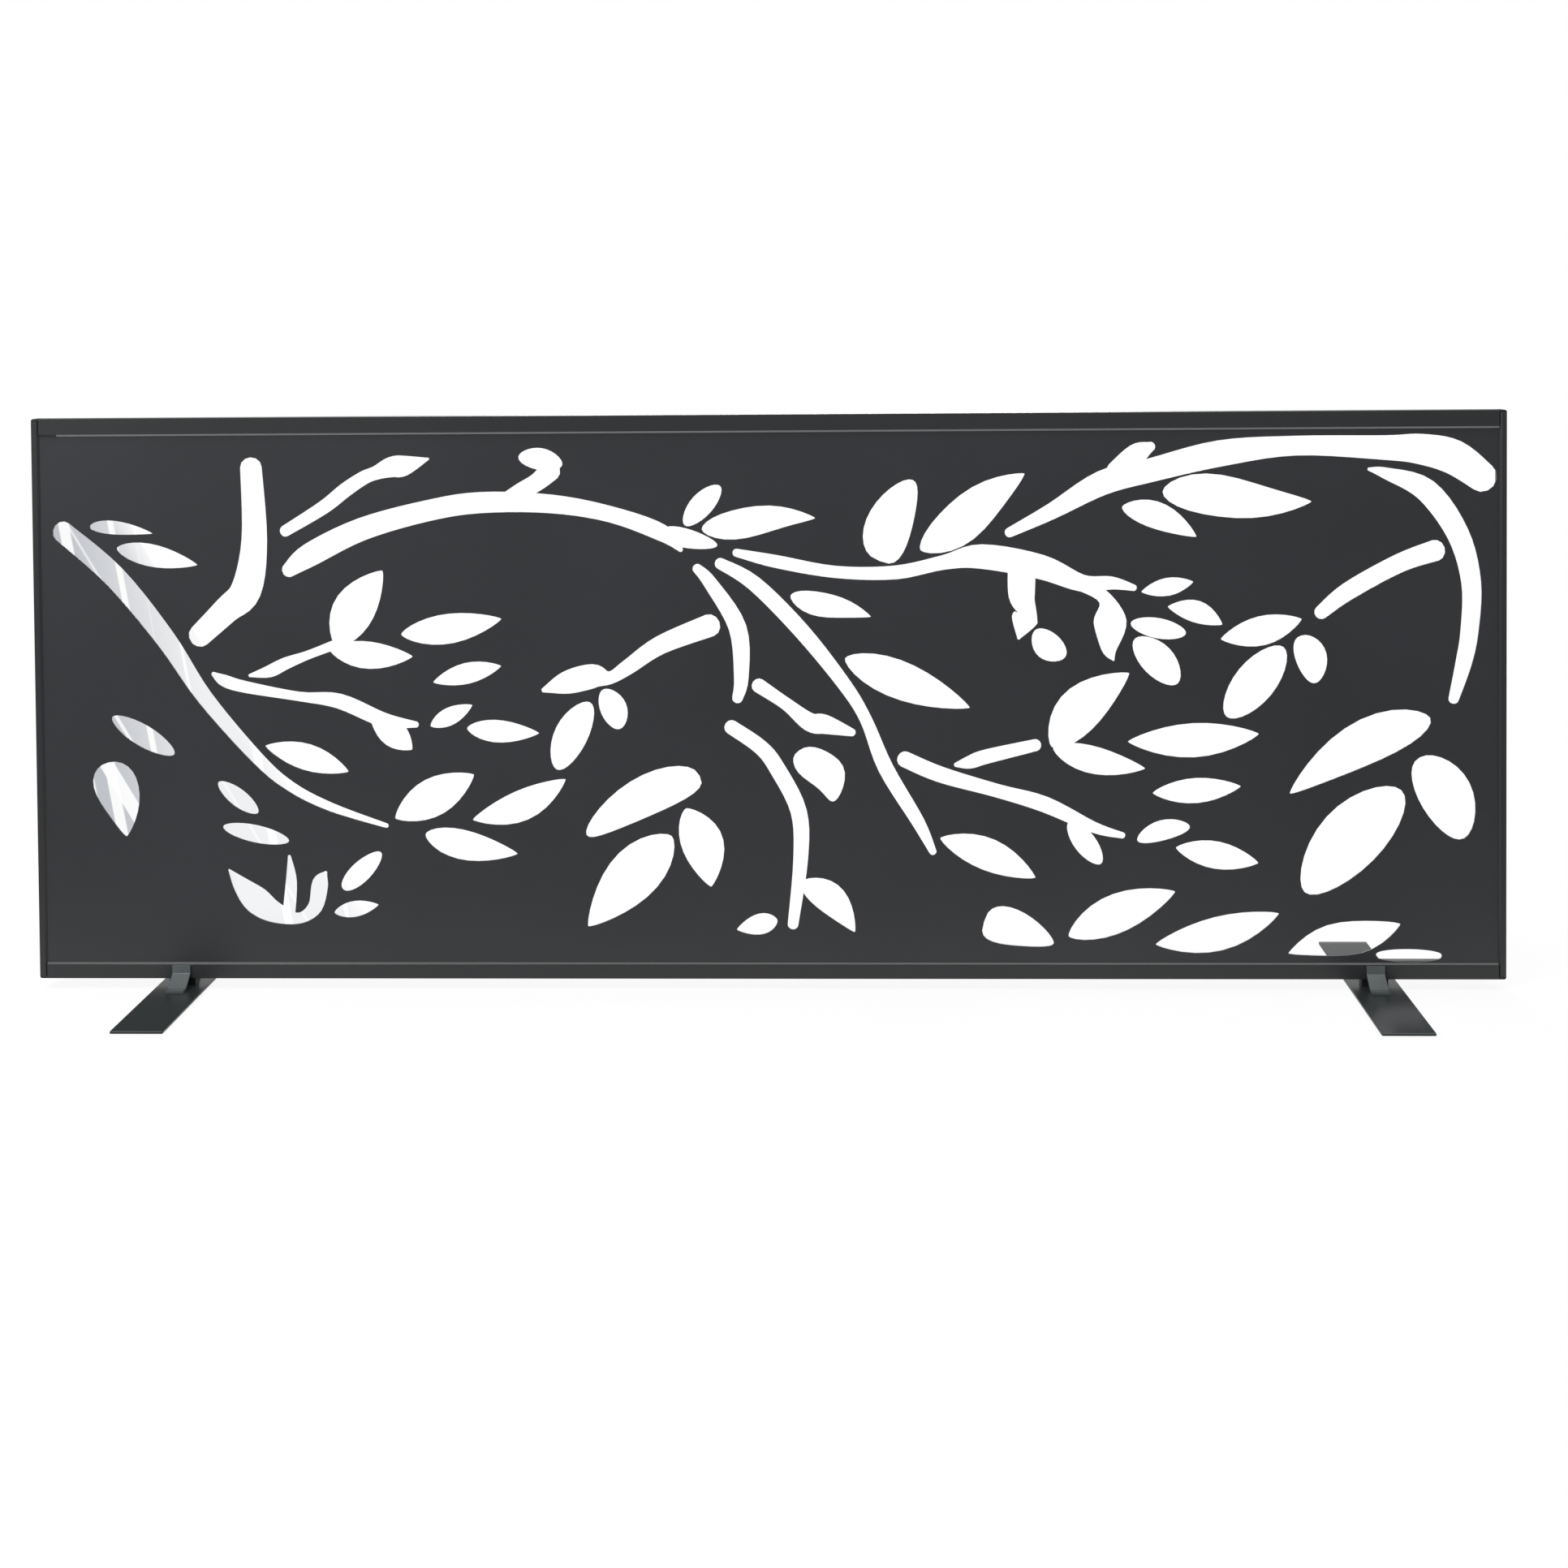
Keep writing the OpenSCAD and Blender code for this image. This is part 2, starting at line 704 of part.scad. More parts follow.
module foot_plate() {
    color("#34393a")
        difference() {
            translate([0, 0, plate_z])
                intersection() {
                    linear_extrude(plate_t)
                        round_rectangle(plate_w, plate_l, plate_corner_r);
                    rotate([90, 0, 0])
                        linear_extrude(plate_l, center = true)
                            plate_section(plate_w);
                    rotate([90, 0, 90])
                        linear_extrude(plate_w, center = true)
                            plate_section(plate_l);
                }
            at_clamp_screws()
                screw_hole(screw_d, plate_t + over);
            for (end = [-1, 1])
                at_bracket_screws(end)
                    screw_hole(bracket_screw_d, plate_t + over);
        }
}

// All that lies on the open side of a bracket's bends, from that far inside its outer face
module bracket_side(inset, far) {
    r = bend_outer_r - inset;
    upper = [bend_outer_r, upper_bend_z];
    lower = [lower_bend_x, bend_outer_r];
    lean = -r * [cos(bracket_slope), sin(bracket_slope)];
    polygon([
        [inset, bracket_h + far], [inset, upper[1]],
        upper + lean, lower + lean,
        [lower[0], inset], [bracket_l + far, inset],
        [bracket_l + far, bracket_h + far]
    ]);
    translate(upper)
        circle(r = r);
    translate(lower)
        circle(r = r);
}

// Bracket section: upright against the rail, then leaning out, then flat on the plate
module bracket_section() {
    difference() {
        bracket_side(0, 0);
        bracket_side(bracket_t, over);
    }
}

module rear_bracket() {
    color("#50575a")
        difference() {
            translate([-bracket_w / 2, bracket_face_y, flange_z])
                rotate([90, 0, 90])
                    linear_extrude(bracket_w)
                        bracket_section();
            at_bracket_screws(1)
                cylinder(d = bracket_screw_d + 2 * hole_gap, h = bracket_screw_l + hole_gap);
        }
}

module front_bracket() {
    mirror([0, 1, 0])
        rear_bracket();
}

module spacer_block() {
    color("#17181a")
        difference() {
            translate([-spacer_w / 2, -spacer_d / 2, flange_z])
                cube([spacer_w, spacer_d, spacer_h]);
            at_clamp_screws()
                cylinder(d = screw_d + 2 * hole_gap, h = plate_t + spacer_h + over);
        }
}

module slide_nut() {
    nut_w = slot_w - 2 * nut_gap;
    color("#8d9092")
        difference() {
            translate([-nut_l / 2, -nut_w / 2, frame_z + slot_lip])
                cube([nut_l, nut_w, nut_t]);
            at_clamp_screws()
                cylinder(d = screw_d + 2 * hole_gap, h = frame_z + slot_lip + nut_t);
        }
}

module clamp_screws() {
    color("#8d9092")
        at_clamp_screws()
            screw(screw_d, clamp_screw_l);
}

module bracket_screws() {
    color("#8d9092")
        for (end = [-1, 1])
            at_bracket_screws(end)
                screw(bracket_screw_d, bracket_screw_l);
}

module foot_pads() {
    color("#1b1b1c")
        for (x = [-1, 1])
            for (y = [-1, 1])
                translate([x * (plate_w / 2 - pad_inset), y * (plate_l / 2 - pad_inset), 0])
                    cylinder(d = pad_d, h = pad_t);
}

cutout_sheet();
clear_pane();
top_rail();
bottom_rail();
left_stile();
right_stile();
gasket_top();
gasket_bottom();
gasket_left();
gasket_right();
cap_top_left();
cap_top_right();
cap_bottom_left();
cap_bottom_right();
frame_screws();
at_left() foot_plate();  // left_foot_plate
at_left() front_bracket();  // left_front_bracket
at_left() rear_bracket();  // left_rear_bracket
at_left() spacer_block();  // left_spacer_block
at_left() slide_nut();  // left_slide_nut
at_left() clamp_screws();  // left_clamp_screws
at_left() bracket_screws();  // left_bracket_screws
at_left() foot_pads();  // left_foot_pads
at_right() foot_plate();  // right_foot_plate
at_right() front_bracket();  // right_front_bracket
at_right() rear_bracket();  // right_rear_bracket
at_right() spacer_block();  // right_spacer_block
at_right() slide_nut();  // right_slide_nut
at_right() clamp_screws();  // right_clamp_screws
at_right() bracket_screws();  // right_bracket_screws
at_right() foot_pads();  // right_foot_pads
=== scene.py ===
"""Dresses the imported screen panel.

Powder-coated sheet, frame and feet, a clear pane, screws and pads, and a white studio stage.
"""

import json
import math

import bmesh
import bpy
from bpy.props import FloatProperty, FloatVectorProperty, IntProperty, PointerProperty
from bpy.types import Operator, Panel, PropertyGroup
from mathutils import Matrix, Vector

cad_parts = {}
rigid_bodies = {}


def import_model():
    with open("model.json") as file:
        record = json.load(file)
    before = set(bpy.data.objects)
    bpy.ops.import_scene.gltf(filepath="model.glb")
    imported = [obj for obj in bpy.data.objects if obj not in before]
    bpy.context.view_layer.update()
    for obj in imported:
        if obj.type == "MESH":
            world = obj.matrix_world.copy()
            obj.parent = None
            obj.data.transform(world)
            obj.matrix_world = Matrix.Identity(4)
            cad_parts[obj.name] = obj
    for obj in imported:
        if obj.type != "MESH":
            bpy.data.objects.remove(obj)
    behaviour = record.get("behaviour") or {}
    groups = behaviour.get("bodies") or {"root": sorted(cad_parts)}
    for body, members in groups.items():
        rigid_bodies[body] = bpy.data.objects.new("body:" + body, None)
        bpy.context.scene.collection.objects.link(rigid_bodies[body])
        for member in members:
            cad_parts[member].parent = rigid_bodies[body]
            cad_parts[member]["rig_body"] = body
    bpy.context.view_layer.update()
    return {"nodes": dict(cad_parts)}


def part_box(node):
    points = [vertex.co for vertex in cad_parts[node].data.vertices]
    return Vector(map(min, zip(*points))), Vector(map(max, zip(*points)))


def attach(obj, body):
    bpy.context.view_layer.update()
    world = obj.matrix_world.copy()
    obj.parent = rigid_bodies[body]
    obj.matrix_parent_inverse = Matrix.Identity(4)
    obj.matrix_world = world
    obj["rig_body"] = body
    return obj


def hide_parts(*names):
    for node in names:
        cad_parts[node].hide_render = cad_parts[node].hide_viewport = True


bl_info = {
    "name": "Cut-out Screen Panel",
    "version": (1, 0, 0),
    "blender": (4, 5, 0),
    "location": "View3D > Sidebar > Screen",
    "description": "Finishes, screws and studio stage for a free-standing cut-out screen panel",
    "category": "Object",
}

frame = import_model()

MM = 0.001
SIDES = ("left", "right")
UP = Vector((0, 0, 1))

# Painted highlight on the top rail: a paler line on the chamfer along the inner edge of its
# front lip. The chamfer, how far the line reaches past it in depth, and how far from the rail's
# left end it starts
LIP_CHAMFER = 2.4 * MM
HIGHLIGHT_MARGIN = 0.4 * MM
HIGHLIGHT_START = 22 * MM

# Powder coat: slow drift of its thickness, and how much darker and lighter that makes it
DRIFT_WIDTH = 260 * MM
DRIFT_SHADE = 0.06
# Orange peel is about 1 mm wide and is drawn wider, as coat_grain, so that it shows from afar
PEEL_DEPTH = 0.4 * MM
PEEL_STRENGTH = 0.12
# Steps of roughness by which the peel makes the coat smoother and rougher
PEEL_GLOSS = (-0.04, 0.05)

# Painted reflection on the pane: a grey tint with bright streaks in its colour. Both directions
# lie in the pane, across its streaks, and are 1 m long
ACROSS_SLANTED = (0.86, 0.0, 0.51)
ACROSS_UPRIGHT = (0.985, 0.0, 0.174)
# Where the painted reflection ends and where it is unbroken, in metres along ACROSS_SLANTED
REFLECTION_END = -0.365
REFLECTION_START = -0.40
# Where it is faintest and strongest, in metres along ACROSS_UPRIGHT
REFLECTION_FAINTEST = -0.62
REFLECTION_STRONGEST = -0.75
# Share of the strongest painted reflection that is left where it is faintest, and in a streak
FAINT_REFLECTION = 0.3
STREAK_REFLECTION = 0.12
# Tint of the pane where it is clear, and the grey of the painted reflection where it is strongest
CLEAR_TINT = "FFFFFF"
PAINTED_REFLECTION_TINT = "BEC1C7"
# Bright streaks across either direction: their width, and the level of the noise above which the
# painted reflection gives way. It fades out over the step of the noise that follows
STREAKS = ((30 * MM, 0.60), (20 * MM, 0.63))
STREAK_EDGE = 0.03

# Moulded pieces: shades of the grain, as shares of the colour, and strength of its relief
MOULD_SHADES = (0.85, 1.15)
MOULD_STRENGTH = 0.3

# Turning marks on plated steel are about 0.2 mm wide and are drawn wider, so that they show.
# Their shades are shares of the colour, and their gloss is a step of roughness
MARKS_WIDTH = 0.9 * MM
MARKS_SHADES = (0.88, 1.08)
MARKS_GLOSS = (-0.08, 0.1)

# Rounded copies: vertices that are welded, faces that are joined into one, edges that stay
# smooth and edges that are rounded
WELD_DISTANCE = 0.002 * MM
FLAT_ANGLE = math.radians(0.5)
SMOOTH_ANGLE = math.radians(30)
ROUNDED_ANGLE = math.radians(35)
ROUNDING_STEPS = 2

# Screws: core below the thread, as a share of the shank; radius of the thread's ridge and
# plain length at the two ends, as shares of its pitch; how far the socket opens past the head
CORE_SHARE = 0.9
RIDGE_SHARE = 0.3
PLAIN_PITCHES = 2.0
SOCKET_OPENING = 0.1 * MM
HEAD_SIDES = 40
SHANK_SIDES = 32
SOCKET_SIDES = 6
TURN_STEPS = 20
RIDGE_SIDES = 4
# Pads: radius of a ring, as a share of the pad's thickness, and the room that the rings leave
# at the edge, as a share of the distance between them
RING_SHARE = 0.3
RING_MARGIN = 0.4
PAD_SIDES = 48
RING_STEPS = 40
BEAD_SIDES = 8

# Stage, in metres from the origin. Along Y the room in front gives way to the white backdrop,
# on the floor by place and in the world by direction
FLOOR_CHANGE = (-0.55, -0.05)
WORLD_CHANGE = (-0.6, 0.1)
FLOOR_HALF = 40.0
FLOOR_COLOUR = "F4F4F4"
LAMP_TARGET = (0.0, 0.0, 0.35)
SENSOR_MM = 36
# Share of the light from behind that the pane's two faces keep back
PANE_LOSS = 0.08
# Part of the shadow's reach within which the floor keeps its full share of the shadow
FULL_SHADOW = 0.6


def linear_rgb(hex_code):
    """Linear red, green and blue of an sRGB hex colour."""
    values = [int(hex_code[i:i + 2], 16) / 255 for i in (0, 2, 4)]
    return tuple(v / 12.92 if v <= 0.04045 else ((v + 0.055) / 1.055) ** 2.4 for v in values)


def per_metre(width):
    """Texture scale at which one cell of a pattern has that width."""
    return 1 / width


class ScreenFinish(PropertyGroup):
    """Colours and surface values of the screen's finishes."""

    sheet_colour: FloatVectorProperty(
        name="Sheet", description="Powder coat of the cut-out sheet",
        subtype="COLOR", min=0, max=1, default=linear_rgb("292A2D"),
    )
    frame_colour: FloatVectorProperty(
        name="Frame", description="Powder coat of the rails and stiles",
        subtype="COLOR", min=0, max=1, default=linear_rgb("262728"),
    )
    foot_colour: FloatVectorProperty(
        name="Foot plates", description="Powder coat of the foot plates",
        subtype="COLOR", min=0, max=1, default=linear_rgb("272B2C"),
    )
    bracket_colour: FloatVectorProperty(
        name="Brackets", description="Powder coat of the bent foot brackets",
        subtype="COLOR", min=0, max=1, default=linear_rgb("4D5354"),
    )
    # Painted highlight: this paler colour on the top rail's lip chamfer stands in for its light
    painted_highlight_colour: FloatVectorProperty(
        name="Lip line", description="Paler coat on the chamfer of the top rail's front lip",
        subtype="COLOR", min=0, max=1, default=linear_rgb("6C6D6F"),
    )
    black_colour: FloatVectorProperty(
        name="Black", description="Gaskets, foot pads and spacer blocks",
        subtype="COLOR", min=0, max=1, default=linear_rgb("161617"),
    )
    plastic_colour: FloatVectorProperty(
        name="Plastic", description="Stile caps",
        subtype="COLOR", min=0, max=1, default=linear_rgb("1B1C1E"),
    )
    steel_colour: FloatVectorProperty(
        name="Zinc steel", description="Slide nuts and foot screws",
        subtype="COLOR", min=0, max=1, default=linear_rgb("B4B6B8"),
    )
    black_steel_colour: FloatVectorProperty(
        name="Blackened steel", description="Frame screws",
        subtype="COLOR", min=0, max=1, default=linear_rgb("3A3B3D"),
    )
    coat_grain: FloatProperty(
        name="Coat grain", description="Width of one swelling of the powder coat",
        default=2.4 * MM, min=0.5 * MM, max=8 * MM, unit="LENGTH",
    )
    coat_roughness: FloatProperty(
        name="Coat roughness", description="Roughness of the satin powder coat",
        default=0.3, min=0.1, max=0.9, subtype="FACTOR",
    )
    bracket_roughness: FloatProperty(
        name="Bracket roughness", description="Roughness of the smoother coat of the brackets",
        default=0.2, min=0.1, max=0.9, subtype="FACTOR",
    )
    plate_roughness: FloatProperty(
        name="Plate roughness", description="Roughness of the coat of the foot plates",
        default=0.24, min=0.1, max=0.9, subtype="FACTOR",
    )
    edge_width: FloatProperty(
        name="Edge rounding", description="Rounding of the coated metal edges",
        default=0.4 * MM, min=0.1 * MM, max=1 * MM, unit="LENGTH",
    )


class ScreenScrews(PropertyGroup):
    """Sizes of the screws and pads that Geometry Nodes repeat."""

    frame_shank: FloatProperty(
        name="Frame and clamp screw", description="Diameter of the frame and clamp screws",
        default=5 * MM, min=3 * MM, max=8 * MM, unit="LENGTH",
    )
    bracket_shank: FloatProperty(
        name="Bracket screw", description="Diameter of the bracket screws",
        default=4 * MM, min=2 * MM, max=6 * MM, unit="LENGTH",
    )
    frame_length: FloatProperty(
        name="Frame screw length", description="Length of a frame screw, head included",
        default=25 * MM, min=15 * MM, max=40 * MM, unit="LENGTH",
    )
    head_share: FloatProperty(
        name="Head", description="Diameter of a countersunk head, as a share of the shank's",
        default=1.88, min=1.5, max=2.2,
    )
    socket_share: FloatProperty(
        name="Socket", description="Width across the socket's corners, as a share of the shank's",
        default=0.66, min=0.4, max=0.9,
    )
    thread_pitch: FloatProperty(
        name="Thread pitch", description="Rise of the thread in one turn",
        default=0.8 * MM, min=0.4 * MM, max=1.5 * MM, unit="LENGTH",
    )
    pad_diameter: FloatProperty(
        name="Pad", description="Diameter of a rubber pad",
        default=20 * MM, min=10 * MM, max=24 * MM, unit="LENGTH",
    )
    pad_rings: IntProperty(
        name="Pad rings", description="Raised rings under a rubber pad",
        default=3, min=1, max=5,
    )


class ScreenStage(PropertyGroup):
    """Camera and light of the studio."""

    lens: FloatProperty(
        name="Lens", description="Focal length of the camera",
        default=61.49, min=20, max=200, unit="CAMERA",
    )
    shift: FloatProperty(
        name="Shift", description="Vertical shift that keeps the panel's uprights parallel",
        default=-0.25, min=-1, max=1,
    )
    place: FloatVectorProperty(
        name="Camera place", description="Camera position in the panel's own frame",
        subtype="TRANSLATION", unit="LENGTH", default=(0.1392, -3.2690, 0.8418),
    )
    turn: FloatVectorProperty(
        name="Camera turn", description="Tilt down, turn to the left and roll of the camera",
        subtype="EULER", unit="ROTATION",
        default=(math.radians(1.908), math.radians(1.970), math.radians(-0.444)),
    )
    sky_level: FloatProperty(
        name="Sky level", description="Strength of the even light from all round",
        default=0.62, min=0, max=2,
    )
    backdrop_level: FloatProperty(
        name="Backdrop level", description="Brightness that a gloss shows of floor and backdrop",
        default=0.6, min=0, max=1,
    )
    room_level: FloatProperty(
        name="Room level", description="Brightness that a gloss shows of the room in front",
        default=0.2, min=0, max=1,
    )
    key_power: FloatProperty(
        name="Key power", description="Power of the large soft lamp at the front left",
        default=72, min=0, max=500, unit="POWER",
    )
    top_power: FloatProperty(
        name="Top power", description="Power of the long soft lamp above the panel",
        default=46, min=0, max=500, unit="POWER",
    )
    back_power: FloatProperty(
        name="Back power", description="Power of the soft lamp that lights the back",
        default=65, min=0, max=500, unit="POWER",
    )
    shadow_share: FloatProperty(
        name="Floor shadow", description="Share of the object's shadow that the white floor keeps",
        default=0.15, min=0, max=1, subtype="FACTOR",
    )
    shadow_reach: FloatProperty(
        name="Shadow reach",
        description="Distance from the origin at which the floor is pure white",
        default=1.5, min=0.5, max=10, unit="LENGTH",
    )


def finish():
    """The finishes' settings."""
    return bpy.context.scene.screen_finish


def add_node(tree, kind, inputs=None, **settings):
    """Adds a node with its settings and links.

    Each input takes a value, a socket, or a node, whose first output then feeds it. A list feeds
    several into one input.
    """
    node = tree.nodes.new(kind)
    for name, value in settings.items():
        setattr(node, name, value)
    for key, value in (inputs or {}).items():
        for source in value if isinstance(value, list) else [value]:
            if isinstance(source, bpy.types.Node):
                source = source.outputs[0]
            if isinstance(source, bpy.types.NodeSocket):
                tree.links.new(source, node.inputs[key])
            else:
                node.inputs[key].default_value = source
    return node


def new_material(name):
    """An empty material, its node tree and the place on the object that its patterns follow."""
    material = bpy.data.materials.new(name)
    material.use_nodes = True
    tree = material.node_tree
    tree.nodes.clear()
    return material, tree, add_node(tree, "ShaderNodeTexCoord").outputs["Object"]


def rgba(colour, gain=1.0):
    """The colour with full alpha, darker or lighter by the gain."""
    return tuple(min(1.0, c * gain) for c in colour) + (1.0,)


def painted_highlight_mask(tree, place, node):
    """1 on the chamfer under the top rail's front lip, between the stiles: the painted highlight.
    """
    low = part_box(node)[0]
    axes = add_node(tree, "ShaderNodeSeparateXYZ", {"Vector": place}).outputs
    below = add_node(tree, "ShaderNodeMath", {
        0: axes["Z"], 1: low.z + LIP_CHAMFER,
    }, operation="LESS_THAN")
    in_front = add_node(tree, "ShaderNodeMath", {
        0: axes["Y"], 1: low.y + LIP_CHAMFER + HIGHLIGHT_MARGIN,
    }, operation="LESS_THAN")
    clear_of_end = add_node(tree, "ShaderNodeMath", {
        0: axes["X"], 1: low.x + HIGHLIGHT_START,
    }, operation="GREATER_THAN")
    on_chamfer = add_node(tree, "ShaderNodeMath", {0: below, 1: in_front}, operation="MULTIPLY")
    return add_node(tree, "ShaderNodeMath", {0: on_chamfer, 1: clear_of_end}, operation="MULTIPLY")


def powder_coat(name, colour, roughness, sheen=0.5, lined_node=None):
    """Polyester powder, sprayed and baked on metal: an even satin with a fine orange peel."""
    material, tree, place = new_material(name)
    drift = add_node(tree, "ShaderNodeTexNoise", {
        "Vector": place, "Scale": per_metre(DRIFT_WIDTH), "Detail": 2.0, "Roughness": 0.45,
    })
    base = add_node(tree, "ShaderNodeValToRGB", {"Fac": drift})
    dark, light = base.color_ramp.elements
    dark.position, dark.color = 0.3, rgba(colour, 1 - DRIFT_SHADE)
    light.position, light.color = 0.7, rgba(colour, 1 + DRIFT_SHADE)
    peel = add_node(tree, "ShaderNodeTexNoise", {
        "Vector": place, "Scale": per_metre(finish().coat_grain), "Detail": 3.0, "Roughness": 0.5,
    })
    gloss = add_node(tree, "ShaderNodeMapRange", {
        "Value": peel, "To Min": roughness + PEEL_GLOSS[0], "To Max": roughness + PEEL_GLOSS[1],
    })
    bump = add_node(tree, "ShaderNodeBump", {
        "Height": peel, "Strength": PEEL_STRENGTH, "Distance": PEEL_DEPTH,
    })
    if lined_node:
        # Painted highlight: a paler colour on the narrow chamfer that borders the sheet
        # stands in for the light it catches
        base = add_node(tree, "ShaderNodeMix", {
            "Factor": painted_highlight_mask(tree, place, lined_node),
            6: base,
            7: rgba(finish().painted_highlight_colour),
        }, data_type="RGBA").outputs[2]
    coat = add_node(tree, "ShaderNodeBsdfPrincipled", {
        "Base Color": base, "Roughness": gloss, "Normal": bump,
        "IOR": 1.5, "Specular IOR Level": sheen,
    })
    add_node(tree, "ShaderNodeOutputMaterial", {"Surface": coat})
    return material


def clear_acrylic(name):
    """Cast acrylic sheet, polished and clear, with a streaky grey reflection painted at its left
    end.
    """
    material, tree, place = new_material(name)
    slanted, upright = [
        add_node(tree, "ShaderNodeVectorMath", {
            0: place, 1: across,
        }, operation="DOT_PRODUCT").outputs["Value"]
        for across in (ACROSS_SLANTED, ACROSS_UPRIGHT)
    ]
    # The painted reflection ends along a line that leans with the streaks,
    # and is strongest at the left end
    reflection_reach = add_node(tree, "ShaderNodeMapRange", {
        "Value": slanted, "From Min": REFLECTION_END, "From Max": REFLECTION_START,
    })
    fainter = add_node(tree, "ShaderNodeMapRange", {
        "Value": upright, "From Min": REFLECTION_FAINTEST, "From Max": REFLECTION_STRONGEST,
        "To Min": FAINT_REFLECTION,
    })
    reflection_amount = add_node(tree, "ShaderNodeMath", {0: reflection_reach, 1: fainter}, operation="MULTIPLY")
    # Bright streaks in the painted reflection, in two directions
    for across, (width, start) in zip((slanted, upright), STREAKS):
        streak = add_node(tree, "ShaderNodeTexNoise", {
            "W": across, "Scale": per_metre(width), "Detail": 1.0, "Roughness": 0.5,
        }, noise_dimensions="1D")
        reflection_kept = add_node(tree, "ShaderNodeMapRange", {
            "Value": streak, "From Min": start, "From Max": start + STREAK_EDGE,
            "To Min": 1.0, "To Max": STREAK_REFLECTION,
        })
        reflection_amount = add_node(tree, "ShaderNodeMath", {0: reflection_amount, 1: reflection_kept}, operation="MULTIPLY")
    tint = add_node(tree, "ShaderNodeMix", {
        "Factor": reflection_amount,
        6: rgba(linear_rgb(CLEAR_TINT)),
        7: rgba(linear_rgb(PAINTED_REFLECTION_TINT)),
    }, data_type="RGBA")
    pane = add_node(tree, "ShaderNodeBsdfPrincipled", {
        "Base Color": tint.outputs[2], "Roughness": 0.0, "IOR": 1.49, "Transmission Weight": 1.0,
    })
    add_node(tree, "ShaderNodeOutputMaterial", {"Surface": pane})
    return material


def moulded(name, colour, roughness, grain_width, grain_depth):
    """Moulded rubber or plastic: dull and of one colour, with the fine grain of its mould.

    The real grain is 0.1 to 0.3 mm wide and is drawn wider, so that it shows.
    """
    material, tree, place = new_material(name)
    grain = add_node(tree, "ShaderNodeTexNoise", {
        "Vector": place, "Scale": per_metre(grain_width), "Detail": 2.0,
    })
    shade = add_node(tree, "ShaderNodeValToRGB", {"Fac": grain})
    dark, light = shade.color_ramp.elements
    dark.color, light.color = [rgba(colour, gain) for gain in MOULD_SHADES]
    bump = add_node(tree, "ShaderNodeBump", {
        "Height": grain, "Strength": MOULD_STRENGTH, "Distance": grain_depth,
    })
    body = add_node(tree, "ShaderNodeBsdfPrincipled", {
        "Base Color": shade, "Normal": bump, "Roughness": roughness, "Specular IOR Level": 0.35,
    })
    add_node(tree, "ShaderNodeOutputMaterial", {"Surface": body})
    return material


def plated_steel(name, colour, roughness):
    """Machined steel with a thin plating: metallic, with fine turning marks."""
    material, tree, place = new_material(name)
    marks = add_node(tree, "ShaderNodeTexNoise", {
        "Vector": place, "Scale": per_metre(MARKS_WIDTH), "Detail": 3.0,
    })
    gloss = add_node(tree, "ShaderNodeMapRange", {
        "Value": marks, "To Min": roughness + MARKS_GLOSS[0], "To Max": roughness + MARKS_GLOSS[1],
    })
    shade = add_node(tree, "ShaderNodeValToRGB", {"Fac": marks})
    dark, light = shade.color_ramp.elements
    dark.color, light.color = [rgba(colour, gain) for gain in MARKS_SHADES]
    body = add_node(tree, "ShaderNodeBsdfPrincipled", {
        "Base Color": shade, "Roughness": gloss, "Metallic": 1.0,
    })
    add_node(tree, "ShaderNodeOutputMaterial", {"Surface": body})
    return material


def finish_node(node, material):
    """Gives a CAD node its material."""
    mesh = frame["nodes"][node].data
    mesh.materials.clear()
    mesh.materials.append(material)


def stand_in(piece, node, material):
    """Lets a finished piece take the place of a CAD node."""
    piece.data.materials.clear()
    piece.data.materials.append(material)
    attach(piece, frame["nodes"][node]["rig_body"])
    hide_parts(node)


def rounded_copy(node, material):
    """A copy of a CAD node whose sharp edges are rounded, as a sprayed coat rounds them."""
    mesh = frame["nodes"][node].data.copy()
    mesh.name = node + "_coated"
    work = bmesh.new()
    work.from_mesh(mesh)
    bmesh.ops.remove_doubles(work, verts=work.verts, dist=WELD_DISTANCE)
    bmesh.ops.dissolve_limit(
        work, angle_limit=FLAT_ANGLE, verts=work.verts, edges=work.edges,
    )
    for face in work.faces:
        face.smooth = True
    for edge in work.edges:
        edge.smooth = edge.calc_face_angle(math.pi) < SMOOTH_ANGLE
    work.to_mesh(mesh)
    work.free()
    piece = bpy.data.objects.new(node + "_coated", mesh)
    bpy.context.scene.collection.objects.link(piece)
    bevel = piece.modifiers.new("Coated edges", "BEVEL")
    bevel.width = finish().edge_width
    bevel.segments = ROUNDING_STEPS
    bevel.limit_method = "ANGLE"
    bevel.angle_limit = ROUNDED_ANGLE
    bevel.use_clamp_overlap = True
    stand_in(piece, node, material)


def new_tree(name, inputs):
    """A Geometry Nodes tree with a geometry in and out and the named inputs."""
    tree = bpy.data.node_groups.new(name, "GeometryNodeTree")
    tree.interface.new_socket("Geometry", in_out="INPUT", socket_type="NodeSocketGeometry")
    for label, kind in inputs:
        tree.interface.new_socket(label, in_out="INPUT", socket_type=kind)
    tree.interface.new_socket("Geometry", in_out="OUTPUT", socket_type="NodeSocketGeometry")
    return tree, add_node(tree, "NodeGroupInput").outputs


def finish_tree(tree, points, piece, material):
    """Sets one copy of the piece on each point, turned along the point's own direction."""
    direction = add_node(
        tree, "GeometryNodeInputNamedAttribute", {"Name": "direction"}, data_type="FLOAT_VECTOR",
    )
    turned = add_node(
        tree, "FunctionNodeAlignRotationToVector", {"Vector": direction}, axis="Z",
    )
    copies = add_node(tree, "GeometryNodeInstanceOnPoints", {
        "Points": points, "Instance": piece, "Rotation": turned,
    })
    solid = add_node(tree, "GeometryNodeRealizeInstances", {"Geometry": copies})
    coloured = add_node(tree, "GeometryNodeSetMaterial", {
        "Geometry": solid, "Material": material,
    })
    add_node(tree, "NodeGroupOutput", {"Geometry": coloured})


